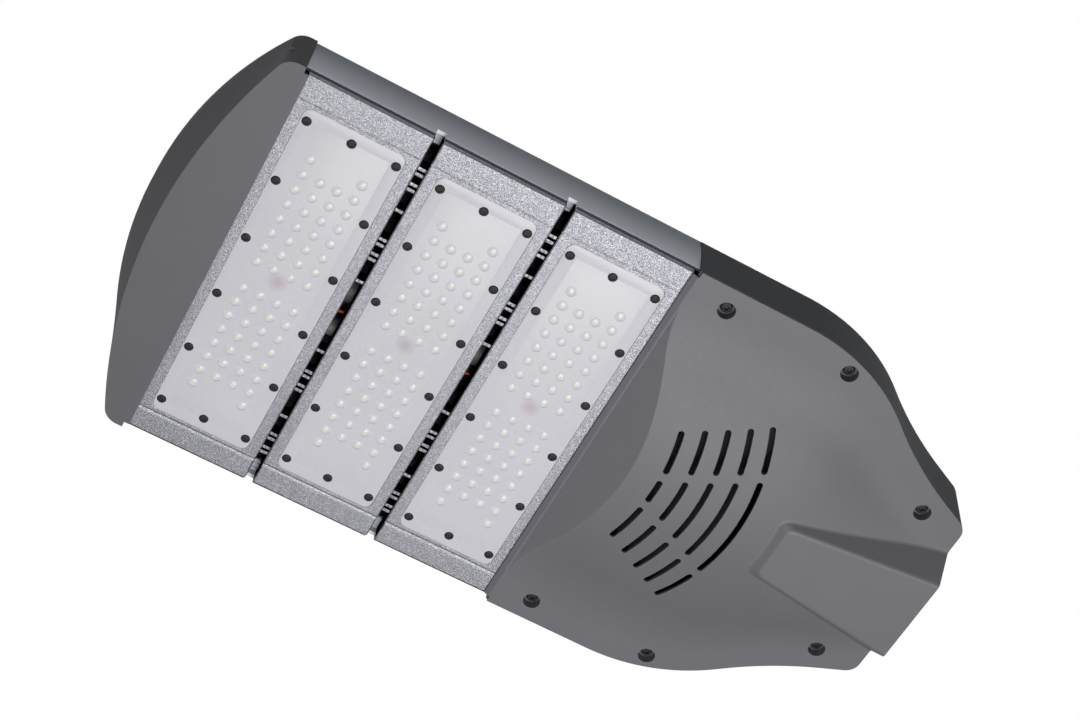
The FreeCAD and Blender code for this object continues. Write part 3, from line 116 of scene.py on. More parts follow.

# Tolerances of the mesh work
TINY = 1e-5
MERGE = 2e-6
BEVEL_ANGLE = math.radians(30)

# Looks
EDGE_HIGHLIGHT_RADIUS = 0.0010      # reach of the painted highlight on edges
EDGE_HIGHLIGHT_PALENESS = 0.35      # its mix with white
GLOSS_SPREAD = 0.07       # round a coat's roughness, to each side
GRAIN_REACH = 4           # contrasts from a coat's colour to each end of its grain
METAL_COLOR = (0.32, 0.32, 0.35)
METAL_GLINT = (0.72, 0.72, 0.76)
METAL_POCKET_LIGHT = (0.72, 0.72, 0.75)    # painted light on the walls round a lens plate
METAL_PAINTED_SHADE = (0.008, 0.008, 0.009)  # painted near-black shade on the walls between modules
METAL_RELIEF = 0.00025
RAIL_COLOR = (0.68, 0.72, 0.78)
RAIL_FOOT_SHADE = (0.030, 0.031, 0.045)
RAIL_LINES = 0.00003      # depth of the draw lines
PLATE_COLOR = (0.69, 0.68, 0.72)
PLATE_EDGE_ON = (0.74, 0.74, 0.80)
PLATE_OVER_SEAL = (0.52, 0.42, 0.44)
PLATE_RELIEF = 0.00002
# Painted light on a dome's steep skirt, and a painted lilac shade on its lee side
DOME_SKIRT_LIGHT = (0.98, 0.97, 1.0)
DOME_SHADE = (0.50, 0.49, 0.68)
DOME_CROWN = (0.93, 0.87, 0.60)

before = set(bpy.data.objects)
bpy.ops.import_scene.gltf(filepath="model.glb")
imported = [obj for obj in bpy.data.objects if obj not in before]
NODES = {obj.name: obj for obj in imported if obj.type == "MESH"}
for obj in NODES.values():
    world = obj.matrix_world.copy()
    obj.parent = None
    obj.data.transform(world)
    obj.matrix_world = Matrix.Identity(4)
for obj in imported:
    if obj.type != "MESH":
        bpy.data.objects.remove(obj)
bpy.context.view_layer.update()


# Selection and mesh helpers

def only(*objects):
    """Selects these objects and nothing else, the first one active."""
    if bpy.context.object and bpy.context.object.mode != "OBJECT":
        bpy.ops.object.mode_set(mode="OBJECT")
    bpy.ops.object.select_all(action="DESELECT")
    for obj in objects:
        obj.select_set(True)
    bpy.context.view_layer.objects.active = objects[0]


def edit(obj, kind="FACE"):
    """Opens an object's mesh for editing, with nothing selected."""
    only(obj)
    bpy.ops.object.mode_set(mode="EDIT")
    bpy.ops.mesh.select_mode(type=kind)
    bpy.ops.mesh.select_all(action="DESELECT")


def pick(obj, elements, test):
    """Selects the faces, edges or vertices of the edited mesh that pass a test."""
    mesh = bmesh.from_edit_mesh(obj.data)
    for element in getattr(mesh, elements):
        element.select_set(bool(test(element)))
    mesh.select_flush_mode()
    bmesh.update_edit_mesh(obj.data)


def rises(edge, length):
    """Whether an edge rises by more than a length."""
    return abs(edge.verts[0].co.z - edge.verts[1].co.z) > length


def done(obj):
    bpy.ops.object.mode_set(mode="OBJECT")
    only(obj)


def settled():
    """Puts the place and size of the object just made into its mesh."""
    obj = bpy.context.object
    only(obj)
    bpy.ops.object.transform_apply(location=True, rotation=True, scale=True)
    return obj


def apply_all(obj):
    only(obj)
    for modifier in list(obj.modifiers):
        bpy.ops.object.modifier_apply(modifier=modifier.name)


def smooth(obj, degrees=40):
    only(obj)
    bpy.ops.object.shade_smooth_by_angle(angle=math.radians(degrees))


def bevelled(obj, width, segments):
    modifier = obj.modifiers.new("rounded edges", "BEVEL")
    modifier.width = width
    modifier.segments = segments
    modifier.limit_method = "ANGLE"
    modifier.angle_limit = BEVEL_ANGLE
    modifier.use_clamp_overlap = False
    modifier.miter_outer = "MITER_ARC"
    apply_all(obj)


def even(obj):
    """Lets the wide flat faces set the normals beside their rounded edges."""
    modifier = obj.modifiers.new("even normals", "WEIGHTED_NORMAL")
    modifier.keep_sharp = True
    apply_all(obj)


def block(x, width, length, low_z, high_z):
    """A box between two levels, across y = 0."""
    bpy.ops.object.select_all(action="DESELECT")
    bpy.ops.mesh.primitive_cube_add(size=1, location=(x, 0, (low_z + high_z) / 2))
    bpy.context.object.scale = (width, length, high_z - low_z)
    return settled()


def rod(sides, radius, depth, z):
    bpy.ops.object.select_all(action="DESELECT")
    bpy.ops.mesh.primitive_cylinder_add(vertices=sides, radius=radius, depth=depth,
                                        location=(0, 0, z))
    return settled()


def cap(radius, segments, rings, cut_z, scale, place, **about):
    """The part of a ball below a level, scaled and then put in place."""
    bpy.ops.object.select_all(action="DESELECT")
    bpy.ops.mesh.primitive_uv_sphere_add(segments=segments, ring_count=rings, radius=radius,
                                         location=(0, 0, 0))
    ball = bpy.context.object
    edit(ball, "VERT")
    pick(ball, "verts", lambda v: v.co.z > cut_z)
    bpy.ops.mesh.delete(type="VERT")
    bpy.ops.mesh.select_all(action="SELECT")
    bpy.ops.transform.resize(value=scale, **about)
    done(ball)
    ball.data.transform(Matrix.Translation(place))
    return ball


def join(name, objects):
    only(*objects)
    bpy.ops.object.join()
    whole = bpy.context.object
    whole.name = name
    whole.data.name = name
    return whole


def copies(model, places):
    """One copy of a model, each with its own mesh, at every place."""
    made = []
    for place in places:
        twin = model.copy()
        twin.data = model.data.copy()
        bpy.context.collection.objects.link(twin)
        twin.data.transform(Matrix.Translation(place))
        made.append(twin)
    return made


def group_of(name, model, places):
    whole = join(name, copies(model, places))
    bpy.data.objects.remove(model)
    return whole


def finish_piece(obj, nodes, material):
    """Gives a piece its finish and lets it stand for CAD nodes."""
    if material:
        obj.data.materials.clear()
        obj.data.materials.append(material)
    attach(obj, "root")
    if nodes:
        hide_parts(*nodes)
    return obj


def from_node(node, material, width=0.0, segments=2, shaping=None):
    """The CAD node's own mesh, merged, with rounded edges or with the CAD surface's own normals.

    The shaping changes the mesh and returns the points it moved.
    """
    piece = bpy.data.objects.new(node + "_made", NODES[node].data.copy())
    bpy.context.collection.objects.link(piece)
    normals = [corner.vector.copy() for corner in piece.data.corner_normals]
    edit(piece, "VERT")
    bpy.ops.mesh.select_all(action="SELECT")
    bpy.ops.mesh.remove_doubles(threshold=MERGE)
    done(piece)
    moved = shaping(piece) if shaping else set()
    if width:
        bevelled(piece, width, segments)
    if width or len(piece.data.loops) != len(normals):
        smooth(piece)
        even(piece)
    else:
        for face in piece.data.polygons:
            if moved.intersection(face.vertices):
                for corner in face.loop_indices:
                    normals[corner] = face.normal.copy()
        piece.data.normals_split_custom_set(normals)
    return finish_piece(piece, [node], material)


# Shader helpers

def feed(tree, node, values):
    """Gives a node's inputs their values. A socket among the values is linked."""
    for key, value in dict(values).items():
        if isinstance(value, bpy.types.NodeSocket):
            tree.links.new(value, node.inputs[key])
        else:
            node.inputs[key].default_value = value


def add(tree, kind, values=(), **settings):
    node = tree.nodes.new(kind)
    for key, value in settings.items():
        setattr(node, key, value)
    feed(tree, node, values)
    return node


def calc(tree, operation, *values):
    """The result of a maths node on values and sockets."""
    return add(tree, "ShaderNodeMath", enumerate(values), operation=operation).outputs[0]


def vector_calc(tree, operation, first, second):
    """The number that a vector maths node gives."""
    return add(tree, "ShaderNodeVectorMath", {0: first, 1: second},
               operation=operation).outputs["Value"]


def split(tree, vector):
    return add(tree, "ShaderNodeSeparateXYZ", {0: vector}).outputs


def noise(tree, **values):
    return add(tree, "ShaderNodeTexNoise", values).outputs["Fac"]


def ranged(tree, value, source=(0.0, 1.0), target=(0.0, 1.0)):
    """A value brought from one range into another, and kept within it."""
    return add(tree, "ShaderNodeMapRange", {
        "Value": value, "From Min": source[0], "From Max": source[1],
        "To Min": target[0], "To Max": target[1]}).outputs["Result"]


def blend(tree, factor, low, high, **settings):
    """Mix of two colours, each of them a socket or three values."""
    low, high = (side if isinstance(side, bpy.types.NodeSocket) else (*side, 1.0)
                 for side in (low, high))
    return add(tree, "ShaderNodeMix", {"Factor": factor, "A": low, "B": high},
               data_type="RGBA", **settings).outputs["Result"]


def bump(tree, height, depth, shader, base=None):
    values = {"Strength": 1.0, "Distance": depth, "Height": height}
    if base:
        values["Normal"] = base
    feed(tree, shader, {"Normal": add(tree, "ShaderNodeBump", values).outputs["Normal"]})


def new_group(name, inputs, outputs):
    """A node group, the sockets that bring its values and the node that takes its results."""
    group = bpy.data.node_groups.new(name, "ShaderNodeTree")
    for label, kind, value in inputs:
        socket = group.interface.new_socket(label, in_out="INPUT", socket_type=kind)
        if value is not None:
            socket.default_value = value
    for label, kind in outputs:
        group.interface.new_socket(label, in_out="OUTPUT", socket_type=kind)
    return group, group.nodes.new("NodeGroupInput").outputs, group.nodes.new("NodeGroupOutput")


def placed(tree, group, **values):
    """The results of a node group that is given these values."""
    return add(tree, "ShaderNodeGroup", values, node_tree=group).outputs


def grain_group():
    """Fine grain: a value from 0 to 1, and a height that mixes fine and coarse grain."""
    group, given, end = new_group("grain", [
        ("Vector", "NodeSocketVector", None),
        ("Scale", "NodeSocketFloat", 900.0),
        ("Coarse", "NodeSocketFloat", 0.3),
    ], [("Value", "NodeSocketFloat"), ("Height", "NodeSocketFloat")])
    fine = noise(group, Vector=given["Vector"], Scale=given["Scale"], Detail=2.0, Roughness=0.6)
    wide = noise(group, Vector=given["Vector"], Scale=calc(group, "MULTIPLY", given["Scale"], 0.22),
                 Detail=3.0, Roughness=0.5)
    height = add(group, "ShaderNodeMix", {"Factor": given["Coarse"], "A": fine, "B": wide},
                 data_type="FLOAT").outputs["Result"]
    feed(group, end, {"Value": ranged(group, height, source=(0.3, 0.7)), "Height": height})
    return group


def edge_group():
    """Mask of the edges within a radius, and a normal that rounds them."""
    group, given, end = new_group("edge", [("Radius", "NodeSocketFloat", 0.0012)],
                                  [("Mask", "NodeSocketFloat"), ("Normal", "NodeSocketVector")])
    rounded = add(group, "ShaderNodeBevel", {"Radius": given["Radius"]}, samples=4).outputs[0]
    plain = add(group, "ShaderNodeNewGeometry").outputs["Normal"]
    likeness = vector_calc(group, "DOT_PRODUCT", rounded, plain)
    feed(group, end, {"Mask": ranged(group, likeness, source=(1.0, 0.85)), "Normal": rounded})
    return group


def mottle_group():
    """Wide, soft variation of a coat from 0 to 1."""
    group, given, end = new_group("mottle", [
        ("Vector", "NodeSocketVector", None),
        ("Scale", "NodeSocketFloat", 14.0),
    ], [("Value", "NodeSocketFloat")])
    cloud = noise(group, Vector=given["Vector"], Scale=given["Scale"], Detail=4.0, Roughness=0.55,
                  Distortion=0.4)
    feed(group, end, {"Value": ranged(group, cloud, source=(0.25, 0.75))})
    return group


def module_place_group():
    """Place across and along a module, and masks of its outer walls and of its pocket's walls."""
    group, given, end = new_group("module place", [
        ("Vector", "NodeSocketVector", None),
        ("Normal", "NodeSocketVector", None),
    ], [("Across", "NodeSocketFloat"), ("Along", "NodeSocketFloat"), ("Wall", "NodeSocketFloat"),
        ("Pocket", "NodeSocketFloat")])
    axes = split(group, given["Vector"])
    shifted = calc(group, "SUBTRACT", axes["X"], MODULE_X[-1] - MODULE_PITCH / 2)
    share = calc(group, "FRACT", calc(group, "DIVIDE", shifted, MODULE_PITCH))
    across = calc(group, "MULTIPLY", calc(group, "SUBTRACT", share, 0.5), MODULE_PITCH)
    side = calc(group, "GREATER_THAN", calc(group, "ABSOLUTE", across), MODULE_SIDE_X)
    low = calc(group, "LESS_THAN", axes["Z"], MODULE_BACK_Z)
    steep = ranged(group, split(group, given["Normal"])["Z"], source=(-0.80, -0.45))
    upright = calc(group, "MULTIPLY", steep, low)
    wall = calc(group, "MULTIPLY", upright, side)
    feed(group, end, {"Across": across, "Along": axes["Y"], "Wall": wall,
                      "Pocket": calc(group, "SUBTRACT", upright, wall)})
    return group


GRAIN = grain_group()
MODULE_PLACE = module_place_group()
EDGE = edge_group()
MOTTLE = mottle_group()


def started(name, values=()):
    """A new material, its tree, its shader with some values, and its texture coordinates."""
    material = bpy.data.materials.new(name)
    material.use_nodes = True
    tree = material.node_tree
    shader = tree.nodes["Principled BSDF"]
    feed(tree, shader, values)
    return material, tree, shader, add(tree, "ShaderNodeTexCoord").outputs


def shade(color, share):
    return tuple(min(1.0, c * share) for c in color)


def coat(name, color, rough, grain=900.0, depth=0.00004, spread=0.06, edge=0.25, metallic=0.0,
         specular=0.5, contrast=0.05):
    """A coated or moulded surface: mottle, grain in colour, gloss and relief, and a painted
    highlight on its edges.
    """
    material, tree, shader, coordinates = started(
        name, {"Metallic": metallic, "Specular IOR Level": specular})
    mottle = placed(tree, MOTTLE, Vector=coordinates["Object"])["Value"]
    fine = placed(tree, GRAIN, Vector=coordinates["Object"], Scale=grain)
    grained = GRAIN_REACH * contrast
    tone = blend(tree, 0.5, blend(tree, mottle, shade(color, 1 - spread), shade(color, 1 + spread)),
                 blend(tree, fine["Value"], shade(color, 1 - grained), shade(color, 1 + grained)))
    rounded = None
    # Painted highlight: the edges are made paler, up to the share given as edge.
    if edge:
        edge_highlight = placed(tree, EDGE, Radius=EDGE_HIGHLIGHT_RADIUS)
        pale = tuple(c + (1 - c) * EDGE_HIGHLIGHT_PALENESS for c in color)
        tone = blend(tree, ranged(tree, edge_highlight["Mask"], target=(0.0, edge)), tone, pale)
        rounded = edge_highlight["Normal"]
    gloss = ranged(tree, fine["Value"], target=(rough - GLOSS_SPREAD, rough + GLOSS_SPREAD))
    feed(tree, shader, {"Base Color": tone, "Roughness": gloss})
    bump(tree, fine["Height"], depth, shader, rounded)
    return material


def blasted_metal():
    """Sand-blasted cast aluminium: specks on a silver ground, with painted shade and highlight
    beside the folds, painted light on the pocket walls and painted near-black shade on the walls
    between modules.
    """
    material, tree, shader, coordinates = started("blasted aluminium")
    vector = coordinates["Object"]
    fine = placed(tree, GRAIN, Vector=vector, Scale=1250.0, Coarse=0.05)
    speck = add(tree, "ShaderNodeTexVoronoi",
                {"Vector": vector, "Scale": 1300.0, "Randomness": 1.0}).outputs["Color"]
    tone = add(tree, "ShaderNodeSeparateColor", {"Color": speck}).outputs
    ground = blend(tree, fine["Value"], shade(METAL_COLOR, 0.34), shade(METAL_COLOR, 1.75))
    specks = blend(tree, ranged(tree, tone["Red"], target=(-0.9, 0.6)), ground, METAL_GLINT)

    place = placed(tree, MODULE_PLACE, Vector=vector, Normal=coordinates["Normal"])
    # Painted shade and highlight beside each fold, mostly at the -Y end.
    past_fold = calc(tree, "SUBTRACT", calc(tree, "ABSOLUTE", place["Along"]), FOLD_Y)
    line = add(tree, "ShaderNodeValToRGB",
               {"Fac": ranged(tree, past_fold, source=(-FOLD_LINE, FOLD_LINE))})
    stops = line.color_ramp.elements
    stops[0].color = (1.0, 1.0, 1.0, 1.0)
    for position, grey in FOLD_PAINTED_SHADES:
        stops.new(position).color = (grey, grey, grey, 1.0)
    near_end = calc(tree, "LESS_THAN", place["Along"], 0.0)
    with_fold_shade = blend(tree, ranged(tree, near_end, target=(FOLD_FAR_SHARE, 1.0)), specks,
                   line.outputs["Color"], blend_type="MULTIPLY")

    # Painted light: the walls round each lens plate are made pale.
    with_pocket_light = blend(tree, place["Pocket"], with_fold_shade, METAL_POCKET_LIGHT)
    # Painted shade: the walls between modules are made near black and lose their gloss.
    steep = calc(tree, "MAXIMUM", place["Wall"], place["Pocket"])
    feed(tree, shader, {
        "Base Color": blend(tree, place["Wall"], with_pocket_light, METAL_PAINTED_SHADE),
        "Metallic": ranged(tree, steep, target=(0.85, 0.0)),
        "Specular IOR Level": ranged(tree, place["Wall"], target=(0.5, 0.0)),
        "Roughness": ranged(tree, tone["Green"], target=(0.42, 0.62))})
    bump(tree, fine["Height"], METAL_RELIEF, shader)
    return material


def rail_coat():
    """Coated extrusion with faint draw lines along X, rounded in its relief, and a painted dark
    shade on its feet beside the modules.
    """
    material, tree, shader, coordinates = started("rail coat", {"Specular IOR Level": 0.12})
    vector = coordinates["Object"]
    axes = split(tree, vector)
    lines = add(tree, "ShaderNodeMapping", {"Vector": vector, "Scale": (3.0, 900.0, 900.0)})
    drawn = noise(tree, Vector=lines.outputs["Vector"], Scale=1.0, Detail=2.0)
    mottle = placed(tree, MOTTLE, Vector=vector, Scale=9.0)["Value"]
    tone = blend(tree, 0.5, blend(tree, drawn, shade(RAIL_COLOR, 0.88), shade(RAIL_COLOR, 1.12)),
                 blend(tree, mottle, shade(RAIL_COLOR, 0.95), shade(RAIL_COLOR, 1.05)))
    facing = split(tree, coordinates["Normal"])
    # Painted shade: the downward faces of the feet, beside the modules, are made near black.
    foot_shade = calc(tree, "MULTIPLY", calc(tree, "LESS_THAN", axes["Z"], RAIL_DARK_Z),
                ranged(tree, facing["Z"], source=(-0.45, -0.75)))
    feed(tree, shader, {"Base Color": blend(tree, foot_shade, tone, RAIL_FOOT_SHADE),
                        "Roughness": ranged(tree, drawn, target=(0.50, 0.62))})
    level = ranged(tree, axes["Z"], source=(RAIL_TOP_Z, RAIL_FOOT_Z))
    rounding = calc(tree, "MULTIPLY", calc(tree, "MULTIPLY", level, level), -RAIL_ROUND)
    bump(tree, calc(tree, "MULTIPLY_ADD", drawn, RAIL_LINES, rounding), 1.0, shader)
    return material


def lens_sheet():
    """Frosted pale plastic, denser and bluer edge-on, with sealing compound showing through."""
    material, tree, shader, coordinates = started("frosted lens plate",
                                                  {"IOR": 1.49, "Specular IOR Level": 0.5})
    vector = coordinates["Object"]
    fine = placed(tree, GRAIN, Vector=vector, Scale=1500.0, Coarse=0.5)
    mottle = placed(tree, MOTTLE, Vector=vector, Scale=22.0)["Value"]
    soft = blend(tree, mottle, shade(PLATE_COLOR, 0.96), shade(PLATE_COLOR, 1.02))
    place = placed(tree, MODULE_PLACE, Vector=vector)
    spot = add(tree, "ShaderNodeCombineXYZ", {"X": place["Across"], "Y": place["Along"]}).outputs[0]
    distance = vector_calc(tree, "DISTANCE", spot, (0.0, SEAL_Y, 0.0))
    near = ranged(tree, distance, source=SEAL_SEEN, target=(0.0, 0.75))
    seen = blend(tree, near, soft, PLATE_OVER_SEAL)
    edge_on = add(tree, "ShaderNodeLayerWeight", {"Blend": 0.35}).outputs["Facing"]
    feed(tree, shader, {"Base Color": blend(tree, edge_on, seen, PLATE_EDGE_ON),
                        "Alpha": ranged(tree, edge_on, target=(0.84, 0.95)),
                        "Roughness": ranged(tree, fine["Value"], target=(0.24, 0.34))})
    bump(tree, fine["Height"], PLATE_RELIEF, shader)
    return material


def lens_dome():
    """Clear dome over a light: warm at its crown, with painted light on its steep skirt and a
    painted lilac shade on the side away from the light.
    """
    material, tree, shader, coordinates = started(
        "lens dome", {"IOR": 1.49, "Specular IOR Level": 0.5, "Alpha": 0.88})
    fine = placed(tree, GRAIN, Vector=coordinates["Object"], Scale=1800.0, Coarse=0.4)
    level = split(tree, coordinates["Normal"])["Z"]
    lee = vector_calc(tree, "DOT_PRODUCT", coordinates["Normal"], DOME_LEE)
    body = blend(tree, fine["Value"], shade(PLATE_COLOR, 0.99), shade(PLATE_COLOR, 1.05))
    # Painted light on the steep skirt
    pale = blend(tree, ranged(tree, level, source=(-0.97, -0.45)), body, DOME_SKIRT_LIGHT)
    cool = blend(tree, ranged(tree, lee, source=(0.15, 0.60), target=(0.0, 0.85)), pale,
                 DOME_SHADE)
    warm = blend(tree, ranged(tree, level, source=(-0.955, -0.997), target=(0.0, 0.5)), cool,
                 DOME_CROWN)
    feed(tree, shader, {"Base Color": warm,
                        "Roughness": ranged(tree, fine["Value"], target=(0.10, 0.16))})
    bump(tree, fine["Height"], PLATE_RELIEF, shader)
    return material


def board_mask():
    """White solder mask over copper tracks and tinned pads."""
    material, tree, shader, coordinates = started("white solder mask", {"Specular IOR Level": 0.4})
    vector = coordinates["Object"]
    tracks = add(tree, "ShaderNodeTexBrick", {
        "Vector": vector, "Scale": 78.0, "Mortar Size": 0.06, "Mortar Smooth": 0.3,
        "Brick Width": 1.0, "Row Height": 0.5, "Color1": (0.80, 0.80, 0.78, 1),
        "Color2": (0.78, 0.785, 0.765, 1), "Mortar": (0.60, 0.62, 0.60, 1)}).outputs
    fine = placed(tree, GRAIN, Vector=vector, Scale=1200.0, Coarse=0.4)
    tint = blend(tree, fine["Value"], (0.96, 0.96, 0.96), (1.0, 1.0, 1.0))
    feed(tree, shader, {
        "Base Color": blend(tree, 1.0, tracks["Color"], tint, blend_type="MULTIPLY"),
        "Roughness": ranged(tree, fine["Value"], target=(0.30, 0.42))})
    bump(tree, tracks["Fac"], 0.00003, shader)
    return material


def paint(name, color):
    """Powder coat of a casting."""
    return coat(name, color, 0.52, grain=1100.0, depth=0.00006, contrast=0.02)


def insulation(name, color, rough):
    """Smooth, softly mottled cover of a wire."""
    return coat(name, color, rough, grain=1400.0, depth=0.00003, spread=0.08, edge=0.0,
                contrast=0.03)


PAINT = paint("grey powder coat", (0.118, 0.118, 0.128))
# The cover's coat is the castings' grey made lighter, a painted light; the tail's is made darker
# and bluer, a painted shade.
COVER_COAT_WITH_PAINTED_LIGHT = paint("cover coat with painted light", (0.136, 0.136, 0.148))
TAIL_COAT_WITH_PAINTED_SHADE = paint("tail coat with painted shade", (0.066, 0.074, 0.086))
DECK = coat("deck powder coat", (0.150, 0.152, 0.160), 0.50, grain=1100.0, depth=0.00006,
            contrast=0.02, specular=0.35)
RAIL = rail_coat()
METAL = blasted_metal()
PLATE = lens_sheet()
DOME = lens_dome()
SEAL = coat("pale silicone", (0.66, 0.66, 0.65), 0.6, grain=700.0, depth=0.00005, edge=0.0,
            contrast=0.02)
BOARD = board_mask()
PACKAGE = coat("led package", (0.82, 0.81, 0.78), 0.4, grain=2000.0, depth=0.00001, edge=0.0,
               contrast=0.02)
PHOSPHOR = coat("yellow phosphor", (0.80, 0.60, 0.10), 0.35, grain=2600.0, depth=0.00002, edge=0.0,
                contrast=0.06)
BLACK_SCREW = coat("black oxide", (0.018, 0.018, 0.020), 0.48, grain=1500.0, depth=0.00002,
                   edge=0.08, contrast=0.08, specular=0.3)
STEEL = coat("zinc plated steel", (0.36, 0.36, 0.35), 0.50, grain=1100.0, depth=0.00002, edge=0.15,
             metallic=0.7, contrast=0.06)
RUBBER = coat("dark rubber", (0.035, 0.035, 0.037), 0.72, depth=0.00006, edge=0.1, contrast=0.06)
# A dark case, made near black also as painted shade for what shows through the cover's vents.
CASE = coat("driver case", (0.030, 0.030, 0.032), 0.55, grain=1000.0, edge=0.1, contrast=0.06,
            specular=0.2)
WHITE = coat("white nylon", (0.70, 0.69, 0.66), 0.5, grain=800.0, depth=0.00003, contrast=0.02)
BLUE = coat("blue surge case", (0.045, 0.12, 0.34), 0.42, depth=0.00003, contrast=0.03)
GLAND = coat("gland nylon", (0.045, 0.045, 0.05), 0.5, contrast=0.06)
PLUG = coat("connector nylon", (0.13, 0.13, 0.14), 0.5, grain=800.0, depth=0.00005)
SHEATH = insulation("lead sheath", (0.030, 0.030, 0.033), 0.5)
RED = insulation("red wire", (0.72, 0.060, 0.030), 0.36)
BLACK_WIRE = insulation("black wire", (0.020, 0.020, 0.022), 0.4)
SLEEVE = coat("heat-shrink sleeve", (0.20, 0.20, 0.21), 0.45, grain=500.0, depth=0.00012)
PINK = coat("sealing compound", (0.50, 0.36, 0.36), 0.45, grain=500.0, depth=0.0001, edge=0.0,
            contrast=0.08)


# Optics of a module

def led_places():
    places = []
    for column in LED_COLUMNS:
        outer = abs(column) == max(LED_COLUMNS)
        for i in range(LED_ROWS[outer]):
            y = LED_FIRST_Y + i * LED_PITCH
            places += [(column * LED_COLUMN_PITCH, y), (column * LED_COLUMN_PITCH, -y)]
    return places


def lens_screw_places():
    rows = [SCREW_OUT_Y * (2 * i / (SCREW_ROWS - 1) - 1) for i in range(SCREW_ROWS)]
    places = [(side * SCREW_OUT_X, y) for y in rows for side in (-1, 1)]
    return places + [(0.0, rows[0]), (0.0, rows[-1])]


def dome_model():
    """One lens dome: the cap of a flattened ball whose widest ring lies inside the plate."""
    dome = cap(radius=DOME_R, segments=14, rings=10, cut_z=-DOME_R / 4,
               scale=(1, 1, DOME_HEIGHT / DOME_R), place=(0, 0, LENS_Z + DOME_SINK),
               center_override=(0, 0, 0))
    smooth(dome, 60)
    dome.data.materials.append(DOME)
    return dome


def lens_plate(number, x, dome):
    """A plate with rounded corners, a shallow groove round its domes, and the domes."""
    plate = block(x, 2 * LENS_HALF[0], 2 * LENS_HALF[1], LENS_Z, LENS_BACK_Z)
    edit(plate, "FACE")
    pick(plate, "faces", lambda f: f.normal.z < -0.99)
    for inset, move in LENS_GROOVE:
        bpy.ops.mesh.inset(thickness=inset)
        if move:
            bpy.ops.transform.translate(value=(0, 0, move))
    bpy.ops.mesh.select_mode(type="EDGE")
    pick(plate, "edges", lambda e: rises(e, (LENS_BACK_Z - LENS_Z) / 2))
    bpy.ops.mesh.bevel(offset=LENS_CORNER, segments=6, affect="EDGES")
    low = LENS_Z + TINY
    pick(plate, "edges", lambda e: all(v.co.z < low for v in e.verts)
         and any(f.normal.z > -0.5 for f in e.link_faces))
    bpy.ops.mesh.bevel(offset=LENS_EDGE, segments=2, affect="EDGES")
    done(plate)
    smooth(plate, 35)
    plate.data.materials.append(PLATE)
    domes = copies(dome, [(x + dx, y, 0) for dx, y in led_places()])
    whole = join(f"lens_plate_{number}_made", [plate] + domes)
    return finish_piece(whole, [f"lens_plate_{number}"], None)


def led_model():
    """A square package with a round phosphor window in a shallow well."""
    top = BOARD_Z - LED_HEIGHT
    package = block(0, LED_SIZE, LED_SIZE, top, BOARD_Z)
    edit(package, "EDGE")
    pick(package, "edges", lambda e: rises(e, LED_HEIGHT / 2))
    bpy.ops.mesh.bevel(offset=LED_CORNER, segments=1, affect="EDGES")
    done(package)
    package.data.materials.append(PACKAGE)
    window = cap(radius=PHOSPHOR_R, segments=10, rings=6, cut_z=TINY,
                 scale=(1, 1, PHOSPHOR_RISE), place=(0, 0, top))
    smooth(window, 60)
    window.data.materials.append(PHOSPHOR)
    return join("led", [package, window])


def socket_screw(radius, height, socket, depth, seat_z):
    """A button head seen from below, its hex socket towards -Z."""
    head = rod(24, radius, height, seat_z - height / 2)
    edit(head, "EDGE")
    pick(head, "edges", lambda e: all(v.co.z < seat_z - height + TINY for v in e.verts))
    bpy.ops.mesh.bevel(offset=min(radius * HEAD_ROUND, height * HEAD_ROUND_LIMIT), segments=4,
                       affect="EDGES")
    done(head)
    key = rod(6, socket, 2 * depth, seat_z - height)
    cut = head.modifiers.new("socket", "BOOLEAN")
    cut.operation = "DIFFERENCE"
    cut.solver = "EXACT"
    cut.object = key
    apply_all(head)
    bpy.data.objects.remove(key)
    smooth(head, 35)
    return head


def board_seal(number, x):
    """Sealing compound over the hole where a board's lead comes up."""
    drop = cap(radius=SEAL_R, segments=20, rings=12, cut_z=TINY, scale=SEAL_SHAPE,
               place=(x, SEAL_Y, BOARD_Z))
    smooth(drop, 70)
    drop.name = f"board_seal_{number}"
    return finish_piece(drop, [], PINK)


# Changes to CAD pieces

def meet_fins(body, x):
    """Lengthens the fins until they touch those of the next module.

    A body's normals are all made anew, so it returns no moved points.
    """
    for side in (-1, 1):
        edit(body, "FACE")
        pick(body, "faces", lambda f: f.normal.x * side > 0.9
             and abs((f.calc_center_median().x - x) * side - FIN_REACH) < FIN_CATCH)
        bpy.ops.transform.translate(value=(side * FIN_CLOSING, 0, 0))
        done(body)
    return set()


def draw_up(piece, *edges):
    """Moves edges of a strip up to the modules or away from them, and returns the moved points."""
    moved = set()
    for x, z, move in edges:
        found = {v.index for v in piece.data.vertices
                 if abs(v.co.x - x) < STRIP_CATCH and abs(v.co.z - z) < STRIP_CATCH}
        for index in found:
            piece.data.vertices[index].co.x += move
        moved |= found
    return moved


# The pieces

dome = dome_model()
for number, x in enumerate(MODULE_X, 1):
    lens_plate(number, x, dome)
bpy.data.objects.remove(dome)

for number, x in enumerate(MODULE_X, 1):
    lights = group_of(f"leds_{number}_made", led_model(),
                      [(x + dx, y, 0) for dx, y in led_places()])
    finish_piece(lights, [f"leds_{number}"], None)
    heads = group_of(f"lens_screws_{number}_made", socket_screw(**LENS_SCREW),
                     [(x + dx, y, 0) for dx, y in lens_screw_places()])
    finish_piece(heads, [f"lens_screws_{number}"], BLACK_SCREW)
    board_seal(number, x)
    from_node(f"module_body_{number}", METAL, 0.0003,
              shaping=lambda body: meet_fins(body, x))
    from_node(f"circuit_board_{number}", BOARD)
    from_node(f"lens_gasket_{number}", SEAL, 0.0003)
    from_node(f"lead_box_{number}", GLAND, 0.0006)

